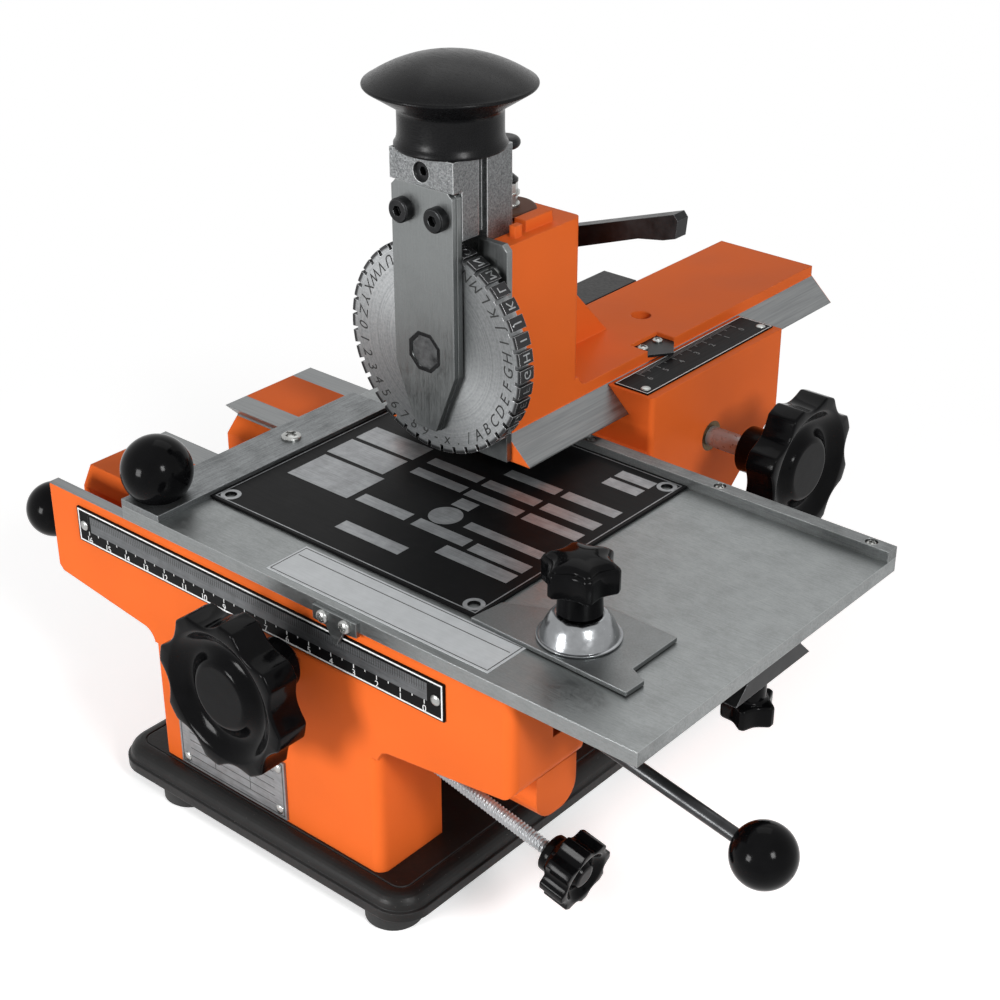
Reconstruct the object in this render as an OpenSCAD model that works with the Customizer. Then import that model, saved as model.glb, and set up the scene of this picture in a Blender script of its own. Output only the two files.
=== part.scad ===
// Bench machine that marks nameplates: a type wheel on a hand-pressed ram stamps one
// character at a time into a plate that lies on a sliding table.
// X runs along the engraved front scale, Y runs back from the front wall, Z runs up from
// the floor. Lengths are millimetres.

/* [Base] */
// Height of the rubber feet
foot_h = 8; // [5:0.5:12]
// Diameter of the rubber feet
foot_d = 20; // [14:1:24]
// Thickness of the base plate
base_t = 9; // [8:0.5:14]
// Left edge of the base plate
base_x0 = -150; // [-158:1:-146]
// Right edge of the base plate
base_x1 = -4.5; // [-8:0.5:6]
// Front edge of the base plate
base_y0 = -8.5; // [-14:0.5:-7]
// Back edge of the base plate
base_y1 = 210; // [209:1:225]
// Corner radius of the base plate
base_r = 12; // [11:0.5:16]

/* [Castings] */
// Height of the rail tops above the base plate
casting_h = 93; // [90:1:110]
// Left end of the castings
beam_x0 = -181.5; // [-190:0.5:-178]
// Right end of the castings
beam_x1 = 34; // [34:0.5:44]
// Depth of the front beam at its ends, under the rail tops
beam_end_h = 35.5; // [33:0.5:38]
// Depth of the front beam beside the pedestal
beam_root_h = 41; // [40:0.5:44]
// Depth of the front beam from front to back
beam_w = 34.5; // [33.5:0.5:36]
// Left side of the front pedestal
pedestal_x0 = -130; // [-132:0.5:-126]
// Right side of the front pedestal
pedestal_x1 = -22; // [-24:0.5:-18]
// Depth of the front pedestal from front to back
pedestal_w = 30; // [28:0.5:32]
// Thickness of the front wall beside the groove
wall_t = 4; // [3.5:0.1:4.5]
// Width of the groove behind the front wall
groove_w = 10.5; // [10:0.1:11]
// Depth of the groove behind the front wall
groove_d = 14.5; // [13:0.5:14.5]
// Back of the middle rail, where the open channel begins
channel_y0 = 54; // [52:0.5:56]
// Width of the open channel between the two castings
channel_w = 30; // [28:0.5:32]
// Depth of the rear rail from front to back
rear_rail_w = 46; // [40:1:50]
// Bottom of the rounded rib under the right end, below the rail tops
rib_d = 51.7; // [48:0.5:56]

/* [Table] */
// Thickness of the sliding table
table_t = 5.1; // [4:0.1:6]
// Left edge of the table
table_x0 = -139.5; // [-142:0.5:-137]
// Right edge of the table
table_x1 = 80; // [80:0.5:90]
// Overhang of the table past the front wall
table_lip = 1; // [0.5:0.1:2]
// Back edge of the table
table_y1 = 139.5; // [139:0.5:142]
// Width of the left fence
fence_w = 19; // [17:0.5:21]
// Thickness of the left fence
fence_t = 2.5; // [2:0.1:2.8]
// Height of the back fence over the table
back_fence_h = 4.1; // [3:0.1:4.6]
// Thickness of the nameplate blank
sample_t = 1; // [0.5:0.1:1.4]
// Diameter of the table's ball handle
handle_d = 25; // [20:0.5:28]

/* [Clamp] */
// Place of the clamp stud along the table
clamp_x = 32.4; // [31:0.2:36]
// Place of the clamp stud from the front wall
clamp_y = 33.5; // [32:0.2:34]
// Thickness of the clamp plate
clamp_t = 1.5; // [1:0.1:2]
// Diameter of the domed washer
dome_d = 26.5; // [24:0.5:27]
// Diameter of the clamp's star knob
clamp_knob_d = 23.7; // [20:0.5:25]

/* [Drives] */
// Gear module of both racks and pinions
gear_m = 1.5; // [1.5:0.5:1.5]
// Teeth of the table pinion
x_teeth = 20; // [18:1:20]
// Teeth of the arm pinion
y_teeth = 30; // [28:1:30]
// Diameter of both drive shafts
shaft_d = 8; // [7:0.5:9]
// Diameter of both handwheels over the lobes
wheel_d = 56; // [50:1:60]
// Thickness of the handwheel rims
wheel_rim_t = 12; // [10:0.5:13]
// Number of lobes on the handwheels
wheel_lobes = 8; // [6:1:10]
// Place of the table drive along X
x_drive_x = -62; // [-66:1:-56]
// Place of the arm drive along Y
y_drive_y = 196.5; // [194:0.5:200]

/* [Arm and head] */
// Centre line of the arm, the column and the ram
head_x = -75.3; // [-78:0.1:-73]
// Width of the arm's top slab
arm_w = 45.6; // [45:0.2:47]
// Width of the dovetail at its bottom
dovetail_w = 66.4; // [64:0.2:68]
// Front face of the arm and the column
arm_y0 = 100; // [99.8:0.1:101]
// Back end of the arm
arm_y1 = 297.3; // [290:0.5:305]
// Height of the saddle floor over the rail tops
saddle_rise = 12.6; // [12.4:0.1:14]
// Depth of the column from front to back
column_w = 40; // [39:0.5:44]
// Height of the column over the arm's slab
column_h = 65; // [63:0.5:65]
// Width of the ram
ram_w = 28; // [26:0.5:30]
// Diameter of the type wheel
dial_d = 77.4; // [74:0.2:77.6]
// Width of the type wheel's rim
dial_t = 6.9; // [6:0.1:7]
// Number of characters round the type wheel
dial_types = 40; // [30:1:44]
// Diameter of the press knob's cap
cap_d = 58; // [50:1:60]

/* [Levers and screws] */
// Diameter of the advance lever's ball
advance_ball_d = 20.3; // [16:0.5:24]
// Tilt of the advance lever at rest, in degrees
advance_tilt = 11.4; // [9:0.2:13]
// Diameter of the release rod's ball
release_ball_d = 20.6; // [16:0.5:24]
// Tilt of the pitch screw, in degrees
pitch_tilt = 11.9; // [11:0.1:13]
// Diameter of the pitch screw
pitch_d = 5; // [4:0.5:5.5]
// Diameter of the pitch screw's star knob
pitch_knob_d = 23; // [18:0.5:26]
// Tilt of the depth lever at rest, in degrees
depth_tilt = 18.5; // [10:0.5:25]

/* [Hidden] */
$fn = 64;

// Fits and the overrun of every cut
over = 1;
run_fit = 0.05;
push_fit = 0.02;
glue_gap = 0.15;
slide_gap = 0.35;
seat_gap = 0.3;

// Colours
orange = "#F26A2B";
black = "#1B1B1D";
steel = "#B9BBBD";
zinc = "#A9ADB0";
dark_steel = "#5E6163";
bronze = "#A9773F";

// Heights, from the floor up
base_z = foot_h;
base_top = base_z + base_t;
rail_top = base_top + casting_h;
strip_rise = 0.4;
strip_top = rail_top + strip_rise;
table_gap = 0.4;
table_z = strip_top + table_gap;
table_top = table_z + table_t;

// Front casting
rail_y0 = wall_t + groove_w;
rail_bevel = 3.9;
rail_bevel_h = 7;
rail_flange_t = 14;
groove_x1 = 26;
undercut_d = 6;
undercut_h = 6;
rib_y0 = 13.3;
rib_w = 19.4;
rib_r = 8;
root_r = 6;
corner_r = 4;
rib_set_back = 1;

// Rear casting
rear_y0 = channel_y0 + channel_w;
rear_y1 = rear_y0 + rear_rail_w;
rear_rail_h = 34;
rear_body_y0 = 100;
rear_body_inset = 5;
rear_rise = 50;
rear_rise_run = 32;
saddle_y0 = 157;
saddle_y1 = 242;
saddle_wall_t = 20.6;
saddle_z = rail_top + saddle_rise;
saddle_h = 9.5;
saddle_top = saddle_z + saddle_h;

// Arm: a slab over a dovetail
arm_z = saddle_z + seat_gap;
dovetail_h = 9.6;
slab_z = arm_z + dovetail_h;
slab_t = 4.1;
slab_top = slab_z + slab_t;
slot_half_bottom = dovetail_w / 2 + slide_gap + run_fit;
slot_half_top = slot_half_bottom - (dovetail_w - arm_w) / 2 * (saddle_h / dovetail_h);
block_x1 = head_x + slot_half_top + saddle_wall_t;
block_x0 = head_x - slot_half_top - saddle_wall_t;

// Racks and pinions
gear_w = 6.5;
gear_backlash = 0.28;
gear_foot = 1.25 * gear_m;
gear_pitch = PI * gear_m;
slider_t = 6.5;
slider_z = table_z - slider_t;
x_rack_h = 4.8;
x_rack_y = channel_y0 + 1;
x_rack_x0 = -104;
x_rack_x1 = 56;
x_pitch_z = slider_z - x_rack_h + gear_m;
x_axis_z = x_pitch_z - gear_m * x_teeth / 2;
y_gear_w = 8;
y_rack_lift = 0.6;
y_rack_h = 7.5;
y_pitch_z = arm_z + y_rack_lift + gear_m;
y_axis_z = y_pitch_z - gear_m * y_teeth / 2;
y_rack_y0 = 144;
y_rack_y1 = 246;
pinion_room = 1.2;
bush_t = 2;
rear_bush_l = 9;
block_bush_l = 16;
hub_l = 16;
hub_d = 25;
hub_end_d = 18;
hollow_share = 0.72;
wheel_turn = 33;
x_wheel_y = -30;
y_wheel_x = 13;

// Scales and plates on the castings
scale_drop = 12.4;
scale_z = strip_top - scale_drop;
x_scale_x0 = -165.8;
x_scale_x1 = 8;
x_scale_up = 8.4;
x_scale_down = 5.1;
plate_t = 0.9;
y_scale_inset = 2;
y_scale_w = 15.2;
y_scale_end = 1.3;
y_plate_t = 0.6;
spec_x0 = -120;
spec_w = 54;
spec_h = 24;
spec_lift = 1;
rivet_d = 2.4;
rivet_head_d = 3.8;
rivet_head_t = 0.7;
rivet_l = 4;
rivet_inset = 3.4;
cover_t = 2.6;
cover_inset = 3;

// Table furniture
slider_x0 = -125;
slider_side = 0.45;
back_fence_w = 5.2;
sample_x1 = 0.6;
sample_y0 = 22.4;
sample_hole_d = 4;
sample_hole_inset = 5;
label_x0 = -71;
label_x1 = 23;
label_y0 = 2;
label_y1 = 20;
label_t = 0.2;
left_fence_l = 113;
fence_screw_y = 69.3;
fence_screw_d = 7.4;
fence_screw_h = 1.9;
back_screw_xs = [-100, -44, 12.4, 72];
screw_core_d = 3.2;
pointer_x = -36.1;
pointer_w = 19;
pointer_t = 1.5;
pointer_drop = 11.1;
pointer_tip_w = 1.2;
pointer_screw_gap = 9.7;
pointer_screw_d = 4.6;
pointer_screw_h = 1.8;
handle_x = -132.6;
handle_y = 10;
handle_rise = 9.1;
handle_stud_d = 6;

// Clamp
clamp_z = table_top + label_t + 0.1 * clamp_t;
clamp_plate_top = clamp_z + clamp_t;
stud_d = 5;
dome_h = 8.5;
dome_rim_h = 1;
clamp_hub_d = 14.4;
clamp_hub_h = 8.6;
clamp_star_h = 8.8;
clamp_crown_h = 2.2;
clamp_knob_z = clamp_plate_top + dome_h + seat_gap;
clamp_lobes = 6;
clamp_pad_w = 60;

// Under-table lock knob
under_x = 70;
under_y = 72;
under_knob_d = 17.6;
under_hub_d = 10.5;
under_hub_h = 12;
under_star_h = 8;
under_lobes = 5;
under_screw_l = 6;

// Column
guide_t = 2.6;
guide_w = 12.5;
guide_gap = 25;
guide_drop = 0.6;
guide_rise = 1.5;
guide_chamfer = 2;
column_top = slab_top + column_h;
slot_gap = 0.3;
bar_w = 12.7;
ram_slot_z = slab_top + 1.4;
ridge_h = 4;
ridge_x = -62;
ridge_w = 5;
ridge_y = 115;
ridge_l = 15;
lug_h = 4.2;
lug_x = -58.2;
lug_w = 2.6;
lug_y = 107.9;
lug_l = 3.6;
column_r = 3;
guide_slot_z = 196;
gusset_t = 8;
gusset_x1 = -77.3;
gusset_l = 49;
gusset_run = 32;
gusset_h = 33.5;
foot_r = 5;
arm_hole_d = 8;
arm_hole_y = 208.4;
arm_hole_h = 4.4;
notch_y = 190.6;
notch_l = 17;
notch_w = 8.5;
notch_d = 2.6;
y_pointer_t = 1;
y_pointer_reach = 5.9;
y_pointer_screw_gap = 9.4;

// Ram
ram_top = 232.5;
plate_seam = 222;
ram_block_z = 205;
ram_y0 = 83.5;
ram_y1 = 96;
outer_plate_t = 2;
inner_plate_t = 2.3;
plate_in = 0.25;
plate_y1 = ram_y0 + outer_plate_t + inner_plate_t;
web_w = 23;
bar_y0 = arm_y0 + slot_gap;
bar_y1 = bar_y0 + bar_w;
bar_z = 168;
plate_chamfer_z = 156.5;
plate_tip_z = 134;
plate_tip_w = 9.8;
plate_corner = 2;
socket_d = 8.5;
socket_h = 3.6;
socket_hex = 4;
socket_hex_d = 2.4;
socket_gap = 15.5;
socket_z = 212.6;
socket_core_d = 5;
set_z = 226.7;
set_d = 7;
set_hex = 3.4;
set_recess = 1.2;
set_l = 9;

// Press knob
knob_y = 98.3;
neck_d = 36;
cap_z = 20.2;
cap_edge = 1.2;
dome_rise = 8.7;
under_tilt = 33;
under_r = 3;

// Type wheel
dial_z = 163;
dial_y0 = 88.2;
dial_pin_d = 12;
pin_front = 0.3;
pin_flange_d = 17;
pin_flange_t = 1;
type_slot_w = 1.5;
type_slot_d = 2.4;
dial_hub_d = 26;
dial_hub_recess = 0.6;

// Return spring under the ram
spring_d = 11;
spring_wire = 1.3;
spring_turns = 7;
spring_rings = 8;
spring_sides = 6;
spring_z0 = ram_slot_z + seat_gap;
spring_z1 = bar_z - seat_gap;
spring_y = bar_y0 + bar_w / 2;

// Stop screw on the column
stop_x = head_x;
stop_y = 126;
stop_boss_d = 22;
stop_boss_h = 2.6;
stop_nut_d = 9.2;
stop_nut_h = 3.4;
stop_d = 4;
stop_knob_d = 10.5;
stop_knob_h = 4.4;
stop_rise = 27.2;
stop_depth = 10;
cone_d = 9;
cone_h = 3;

// Depth lever
depth_stand = 7;
depth_t = 6;
depth_hub_d = 14;
depth_clear = 7.9;
depth_y0 = arm_y0 + column_w + depth_stand;
depth_z = slab_top + gusset_h + depth_hub_d / 2 + depth_clear;
depth_l = 61.5;
depth_root = 7.7;
depth_waist = 5.8;
depth_tip = 8.3;
depth_shaft_d = 7;
depth_shaft_l = 12;

// Advance lever, release rod and pitch screw
lever_x = 12;
lever_y = 23;
lever_z = 99.8;
lever_l = 98.3;
lever_rod_d = 4.6;
lever_eye_d = 11;
lever_eye_t = 6;
lever_pin_d = 5;
lever_pin_l = 24;
lever_room = 0.4;
lever_room_up = 6.4;
lever_room_down = 11.2;
lever_room_left = 7;
release_x = -194;
release_y = 9.4;
release_z = 91;
release_d = 5.5;
release_l = 84;
release_stroke = 4;
pitch_x = pedestal_x1;
pitch_y = 10;
pitch_z = 67.9;
pitch_in = 26;
pitch_out = 65;
pitch_knob_t = 15;
pitch_lobes = 8;

// Bolts under the base plate
bolt_d = 8;
bolt_head_d = 13;
bolt_head_t = 5;
bolt_l = 24;
bolt_xs = [-110, -42];
bolt_ys = [18, 125, 185];

// The part's origin: the middle of its outline on the floor
size_x0 = release_x - release_ball_d / 2;
size_x1 = lever_x + lever_l * cos(advance_tilt) + advance_ball_d / 2;
size_y0 = x_wheel_y;
size_y1 = arm_y1;
centre = [-(size_x0 + size_x1) / 2, -(size_y0 + size_y1) / 2, 0];

module placed() {
    translate(centre) children();
}

// A box from its low corner to its high corner
module box(low, high) {
    translate(low) cube(high - low);
}

// Outline in X and Z, carried along Y from y0 to y1
module along_y(y0, y1) {
    translate([0, y1, 0]) rotate([90, 0, 0]) linear_extrude(y1 - y0) children();
}

// Outline in Y and Z, carried along X from x0 to x1
module along_x(x0, x1) {
    translate([x0, 0, 0]) rotate([90, 0, 90]) linear_extrude(x1 - x0) children();
}

// Round bar along X, Y or Z from a starting point
module bar_x(at, d, l) {
    translate(at) rotate([0, 90, 0]) cylinder(d = d, h = l);
}

module bar_y(at, d, l) {
    translate(at) rotate([-90, 0, 0]) cylinder(d = d, h = l);
}

module bar_z(at, d, l) {
    translate(at) cylinder(d = d, h = l);
}

// What rounding an upright edge takes away; turn picks the corner
module edge_round(at, r, h, turn) {
    translate(at) rotate([0, 0, turn]) difference() {
        translate([-over, -over, -over]) cube([r + over, r + over, h + 2 * over]);
        translate([r, r, -2 * over]) cylinder(r = r, h = h + 4 * over);
    }
}

function arc(cx, cz, r, a0, a1, steps) =
    [for (i = [0:steps]) let (a = a0 + (a1 - a0) * i / steps) [cx + r * cos(a), cz + r * sin(a)]];

// Rim of a lobed knob: round lobes joined by shallow hollows
function lobed(r, lobes, depth, steps) =
    [for (i = [0:lobes * steps - 1])
        let (a = 360 * i / (lobes * steps), w = cos(lobes * a))
        [(r - depth * pow((1 - w) / 2, 1.6)) * cos(a), (r - depth * pow((1 - w) / 2, 1.6)) * sin(a)]];

// Rim of a handwheel: narrow flat-topped lobes, and a shallow round hollow from each to the next
function wheel_rim(r, lobes, depth, steps) = let (step = 360 / lobes)
    [for (i = [0:lobes * steps - 1])
        let (a = i * step / steps, t = ((a % step) / step * 2 - 1) / hollow_share,
             r_a = r - depth * max(0, 1 - t * t))
        [r_a * cos(a), r_a * sin(a)]];

// Involute tooth: angle of the flank at radius r, seen from the tooth's middle
function inv(a) = tan(a) * 180 / PI - a;
function flank(r, base_r, half) =
    r <= base_r ? half + inv(20) : half + inv(20) - inv(acos(base_r / r));

// Pinion with a tooth gap upwards, so that a rack tooth enters it at rest
module pinion(teeth, w, bore) {
    pitch_r = gear_m * teeth / 2;
    base_r = pitch_r * cos(20);
    root = pitch_r - gear_foot;
    half = (90 - gear_backlash / gear_pitch * 180) / teeth;
    rs = [root, max(root, base_r), pitch_r, pitch_r + gear_m / 2, pitch_r + gear_m];
    points = [for (t = [0:teeth - 1]) let (mid = 90 + (t + 0.5) * 360 / teeth)
        each concat(
            [for (r = rs) let (a = mid - flank(r, base_r, half)) [r * cos(a), r * sin(a)]],
            [for (i = [4:-1:0]) let (a = mid + flank(rs[i], base_r, half)) [rs[i] * cos(a),
                rs[i] * sin(a)]])];
    linear_extrude(w) difference() {
        polygon(points);
        circle(d = bore);
    }
}

// Rack outline: teeth point down to tip_z, the back lies at back_z; one tooth sits at 0
module rack_outline(u0, u1, tip_z, back_z) {
    tooth = gear_pitch / 4 - gear_backlash / 2;
    rise = gear_m + gear_foot;
    tip = tooth - gear_m * tan(20);
    foot = tooth + gear_foot * tan(20);
    k0 = ceil((u0 + foot) / gear_pitch);
    k1 = floor((u1 - foot) / gear_pitch);
    polygon(concat(
        [[u0, back_z], [u0, tip_z + rise]],
        [for (k = [k0:k1]) let (u = k * gear_pitch)
            each [[u - foot, tip_z + rise], [u - tip, tip_z], [u + tip, tip_z], [u + foot, tip_z + rise]]],
        [[u1, tip_z + rise], [u1, back_z]]));
}

// Screw head with a cross recess, and its core below; z = 0 is the seat
module cross_screw(d, h, core_l) {
    cross = d / 5;
    difference() {
        union() {
            rotate_extrude() polygon(concat([[0, 0], [d / 2, 0]],
                [for (i = [0:6]) [d / 2 * cos(i * 15), h * (0.35 + 0.65 * sin(i * 15))]]));
            translate([0, 0, -core_l]) cylinder(d = screw_core_d, h = core_l + h / 4);
        }
        for (turn = [0, 90]) rotate([0, 0, turn])
            translate([-d * 0.32, -cross / 2, h / 2]) cube([d * 0.64, cross, h]);
    }
}

// Star knob with its axis up: a hub below and a lobed star above
module star_knob(d, lobes, hub, hub_h, star_h, crown_h, bore, bore_l) {
    edge = star_h / 8;
    difference() {
        union() {
            cylinder(d = hub, h = hub_h + edge);
            translate([0, 0, hub_h]) intersection() {
                linear_extrude(star_h + crown_h) polygon(lobed(d / 2, lobes, d / 7, 10));
                rotate_extrude() polygon(concat(
                    [[0, 0], [d / 2 - edge, 0], [d / 2 + edge, 2 * edge], [d / 2 + edge, star_h - edge]],
                    [for (i = [1:6]) [d / 2 * cos(i * 15), star_h - edge + (crown_h
                        + edge) * sin(i * 15)]]));
            }
        }
        translate([0, 0, -over]) cylinder(d = bore, h = bore_l + over);
    }
}

module base_edge(reach) {
    lip_h = base_t * 0.38;
    lip_w = base_t / 9;
    round_r = base_t - lip_h - lip_w / 2;
    line_w = base_t / 12;
    flat_r = reach - lip_w - round_r;
    polygon(concat(
        [[0, 0], [reach, 0], [reach, lip_h], [reach - lip_w, lip_h + lip_w / 2]],
        arc(flat_r, base_t - round_r, round_r, 10, 90, 6),
        [[flat_r - line_w, base_t], [flat_r - line_w, base_t - line_w / 2],
         [flat_r - 2 * line_w, base_t - line_w / 2], [flat_r - 2 * line_w, base_t], [0, base_t]]));
}

module bolt_places() {
    for (x = bolt_xs, y = bolt_ys) translate([x, y, 0]) children();
}

module rubber_feet() {
    inset_x = [28, 15.5];
    inset_y = 12;
    color(black) placed()
        for (x = [base_x0 + inset_x[0], base_x1 - inset_x[1]], y = [base_y0 + inset_y, base_y1 - inset_y])
            translate([x, y, 0]) rotate_extrude() polygon([
                [0, 0], [foot_d / 2 - foot_h / 8, 0], [foot_d / 2, foot_h / 8], [foot_d / 2, foot_h], [0,
                    foot_h]]);
}

module base_plate() {
    l = base_x1 - base_x0 - 2 * base_r;
    w = base_y1 - base_y0 - 2 * base_r;
    color(black) placed() difference() {
        translate([base_x0 + base_r, base_y0 + base_r, base_z]) {
            cube([l, w, base_t]);
            for (c = [[0, 0, 180], [l, 0, 270], [l, w, 0], [0, w, 90]])
                translate([c[0], c[1], 0]) rotate([0, 0, c[2]]) rotate_extrude(angle = 90) base_edge(base_r);
            for (c = [[0, 0, 180, w], [l, 0, 270, l], [l, w, 0, w], [0, w, 90, l]])
                translate([c[0], c[1], 0]) rotate([0, 0, c[2]])
                    rotate([90, 0, 0]) linear_extrude(c[3]) base_edge(base_r);
        }
        bolt_places() {
            bar_z([0, 0, base_z - over], bolt_d + 2 * seat_gap, base_t + 2 * over);
            bar_z([0, 0, base_z - over], bolt_head_d + 2 * seat_gap, bolt_head_t + over);
        }
    }
}

module casting_bolts() {
    color(dark_steel) placed() bolt_places() difference() {
        union() {
            bar_z([0, 0, base_z + seat_gap], bolt_head_d, bolt_head_t - seat_gap);
            bar_z([0, 0, base_z + seat_gap], bolt_d, bolt_l + base_t - seat_gap);
        }
        translate([0, 0, base_z - over]) cylinder(d = bolt_d * 0.8, h = bolt_head_t * 0.6 + over, $fn = 6);
    }
}

// Front view of the front casting: a beam on a pedestal, with rounded roots
module front_outline() {
    root_z = rail_top - beam_root_h;
    end_z = rail_top - beam_end_h;
    draft = 2;
    polygon(concat(
        [[pedestal_x0, base_top], [pedestal_x1, base_top]],
        arc(pedestal_x1 + root_r, root_z - root_r, root_r, 180, 90, 6),
        arc(beam_x1 - corner_r, end_z + corner_r, corner_r, -83, 0, 6),
        [[beam_x1, strip_top], [beam_x0, strip_top], [beam_x0, end_z + draft], [beam_x0 + draft, end_z]],
        arc(pedestal_x0 - root_r, root_z - root_r, root_r, 90, 0, 6)));
}

// End view of the front casting: wall, rack groove, middle rail and pedestal
module front_section() {
    flange_z = rail_top - rail_flange_t;
    under_z = rail_top - beam_root_h - root_r;
    polygon([
        [0, base_top], [pedestal_w, base_top], [pedestal_w, under_z], [beam_w, under_z],
        [beam_w, flange_z], [channel_y0, flange_z], [channel_y0, rail_top - 2 * undercut_h],
        [channel_y0 - undercut_d, rail_top - undercut_h], [channel_y0, rail_top],
        [wall_t, rail_top], [wall_t, strip_top], [0, strip_top]]);
}

// The groove behind the front wall, with a slanted far side
module groove_section() {
    polygon([
        [wall_t, rail_top - groove_d], [rail_y0, rail_top - groove_d], [rail_y0, rail_top - rail_bevel_h],
        [rail_y0 + rail_bevel, rail_top], [rail_y0 + rail_bevel, strip_top + over], [wall_t, strip_top
            + over]]);
}

module rib_outline() {
    z0 = rail_top - rib_d;
    z1 = rail_top - beam_end_h + over;
    polygon(concat(
        arc(rib_y0 + rib_r, z0 + rib_r, rib_r, 180, 270, 6),
        arc(rib_y0 + rib_w - rib_r, z0 + rib_r, rib_r, -90, 0, 6),
        [[rib_y0 + rib_w, z1], [rib_y0, z1]]));
}

module front_casting() {
    color(orange) placed() difference() {
        union() {
            intersection() {
                along_y(0, channel_y0) front_outline();
                along_x(beam_x0 - over, beam_x1 + over) front_section();
            }
            along_x(pedestal_x1 - over, beam_x1 - rib_set_back) rib_outline();
        }
        edge_round([pedestal_x1, 0, base_top], corner_r, rail_top - beam_root_h - root_r - base_top, 90);
        edge_round([pedestal_x0, 0, base_top], corner_r / 2, rail_top - beam_root_h - root_r - base_top, 0);
        edge_round([beam_x1, 0, rail_top - beam_end_h], corner_r, beam_end_h + over, 90);
        along_x(beam_x0 - over, groove_x1) groove_section();
        bar_y([x_drive_x, -over, x_axis_z], shaft_d + 2 * (bush_t + push_fit), beam_w + 2 * over);
        // Room for the advance lever, and the bore of its pin
        box([lever_x - lever_room_left, lever_y - lever_eye_t / 2 - lever_room, lever_z - lever_room_down],
            [beam_x1 + over, lever_y + lever_eye_t / 2 + lever_room, lever_z + lever_room_up]);
        bar_y([lever_x, lever_y - lever_pin_l / 3, lever_z], lever_pin_d + 2 * push_fit, channel_y0);
        // Bores of the release rod and the pitch screw
        bar_x([beam_x0 - over, release_y, release_z], release_d + 2 * run_fit, release_l);
        pitch_frame() cylinder(d = pitch_d + 2 * run_fit, h = 2 * pitch_in + 2 * over, center = true);
        bolt_places() bar_z([0, 0, base_top - over], bolt_d + 2 * push_fit, bolt_l + 2 * over);
        rivet_holes();
    }
}

module rear_section() {
    polygon([
        [rear_y0, rail_top], [rear_y0 + undercut_d, rail_top - undercut_h],
        [rear_y0, rail_top - 2 * undercut_h], [rear_y0, rail_top - rear_rail_h],
        [rear_y1, rail_top - rear_rail_h], [rear_y1, rail_top]]);
}

module rear_casting() {
    y_pocket_r = gear_m * (y_teeth / 2 + 1) + pinion_room;
    foot_y1 = base_y1 - rear_body_inset;
    color(orange) placed() difference() {
        union() {
            along_x(beam_x0, beam_x1) rear_section();
            along_x(block_x0, block_x1) polygon([
                [rear_body_y0, base_top], [foot_y1, base_top], [foot_y1, base_top + rear_rise],
                [saddle_y1, base_top + rear_rise + rear_rise_run], [saddle_y1, saddle_top],
                [saddle_y0, saddle_top], [saddle_y0, rail_top], [rear_body_y0, rail_top]]);
        }
        edge_round([block_x1, saddle_y0, rail_top], corner_r / 2, saddle_top - rail_top, 90);
        along_y(saddle_y0 - over, saddle_y1 + over) polygon([
            [head_x - slot_half_bottom, saddle_z], [head_x + slot_half_bottom, saddle_z],
            [head_x + slot_half_top, saddle_top], [head_x + slot_half_top, saddle_top + over],
            [head_x - slot_half_top, saddle_top + over], [head_x - slot_half_top, saddle_top]]);
        bar_x([head_x - y_gear_w / 2 - pinion_room, y_drive_y, y_axis_z], 2 * y_pocket_r,
            y_gear_w + 2 * pinion_room);
        bar_x([head_x - y_gear_w / 2 - pinion_room - rear_bush_l, y_drive_y, y_axis_z],
            shaft_d + 2 * (bush_t + push_fit), block_x1 - block_x0);
        bolt_places() bar_z([0, 0, base_top - over], bolt_d + 2 * push_fit, bolt_l + 2 * over);
        rivet_holes();
    }
}

// Plain bush from z = 0 up
module bush(l) {
    difference() {
        cylinder(d = shaft_d + 2 * bush_t, h = l);
        translate([0, 0, -over]) cylinder(d = shaft_d + 2 * run_fit, h = l + 2 * over);
    }
}

module shaft_bushes() {
    color(bronze) placed() {
        for (y = [0, beam_w - rear_bush_l])
            translate([x_drive_x, y, x_axis_z]) rotate([-90, 0, 0]) bush(rear_bush_l);
        translate([block_x1 - block_bush_l, y_drive_y, y_axis_z]) rotate([0, 90, 0]) bush(block_bush_l);
        translate([head_x - y_gear_w / 2 - pinion_room - rear_bush_l, y_drive_y, y_axis_z])
            rotate([0, 90, 0]) bush(rear_bush_l);
    }
}

// Rivets stand on the front wall and on the right block; z = 0 is the plate's face
function front_rivets() = concat(
    [for (x = [x_scale_x0 + rivet_inset, x_scale_x1 - rivet_inset]) [x, scale_z
        + (x_scale_up - x_scale_down) / 2]],
    [for (x = [spec_x0 + rivet_inset, spec_x0 + spec_w - rivet_inset],
          z = [rivet_inset, spec_h - rivet_inset]) [x, base_top + spec_lift + z]]);
function top_rivets() = [for (y = [saddle_y0 + y_scale_end + rivet_inset,
    saddle_y1 - y_scale_end - rivet_inset])
    [head_x + slot_half_top + y_scale_inset + y_scale_w - rivet_inset, y]];

module rivet_places() {
    for (p = front_rivets()) translate([p[0], -plate_t, p[1]]) rotate([90, 0, 0]) children();
    for (p = top_rivets()) translate([p[0], p[1], saddle_top + y_plate_t]) children();
}

module rivet_holes() {
    rivet_places() translate([0, 0, -rivet_l]) cylinder(d = rivet_d + 2 * push_fit, h = rivet_l + over);
}

module plate_rivets() {
    color(steel) placed() rivet_places() {
        translate([0, 0, -rivet_l]) cylinder(d = rivet_d, h = rivet_l);
        rotate_extrude() polygon(concat([[0, 0]],
            [for (i = [0:5]) [rivet_head_d / 2 * cos(i * 18), rivet_head_t * sin(i * 18)]]));
    }
}

module x_scale() {
    color(black) placed() difference() {
        box([x_scale_x0, -plate_t, scale_z - x_scale_down], [x_scale_x1, 0, scale_z + x_scale_up]);
        rivet_holes();
    }
}

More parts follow.
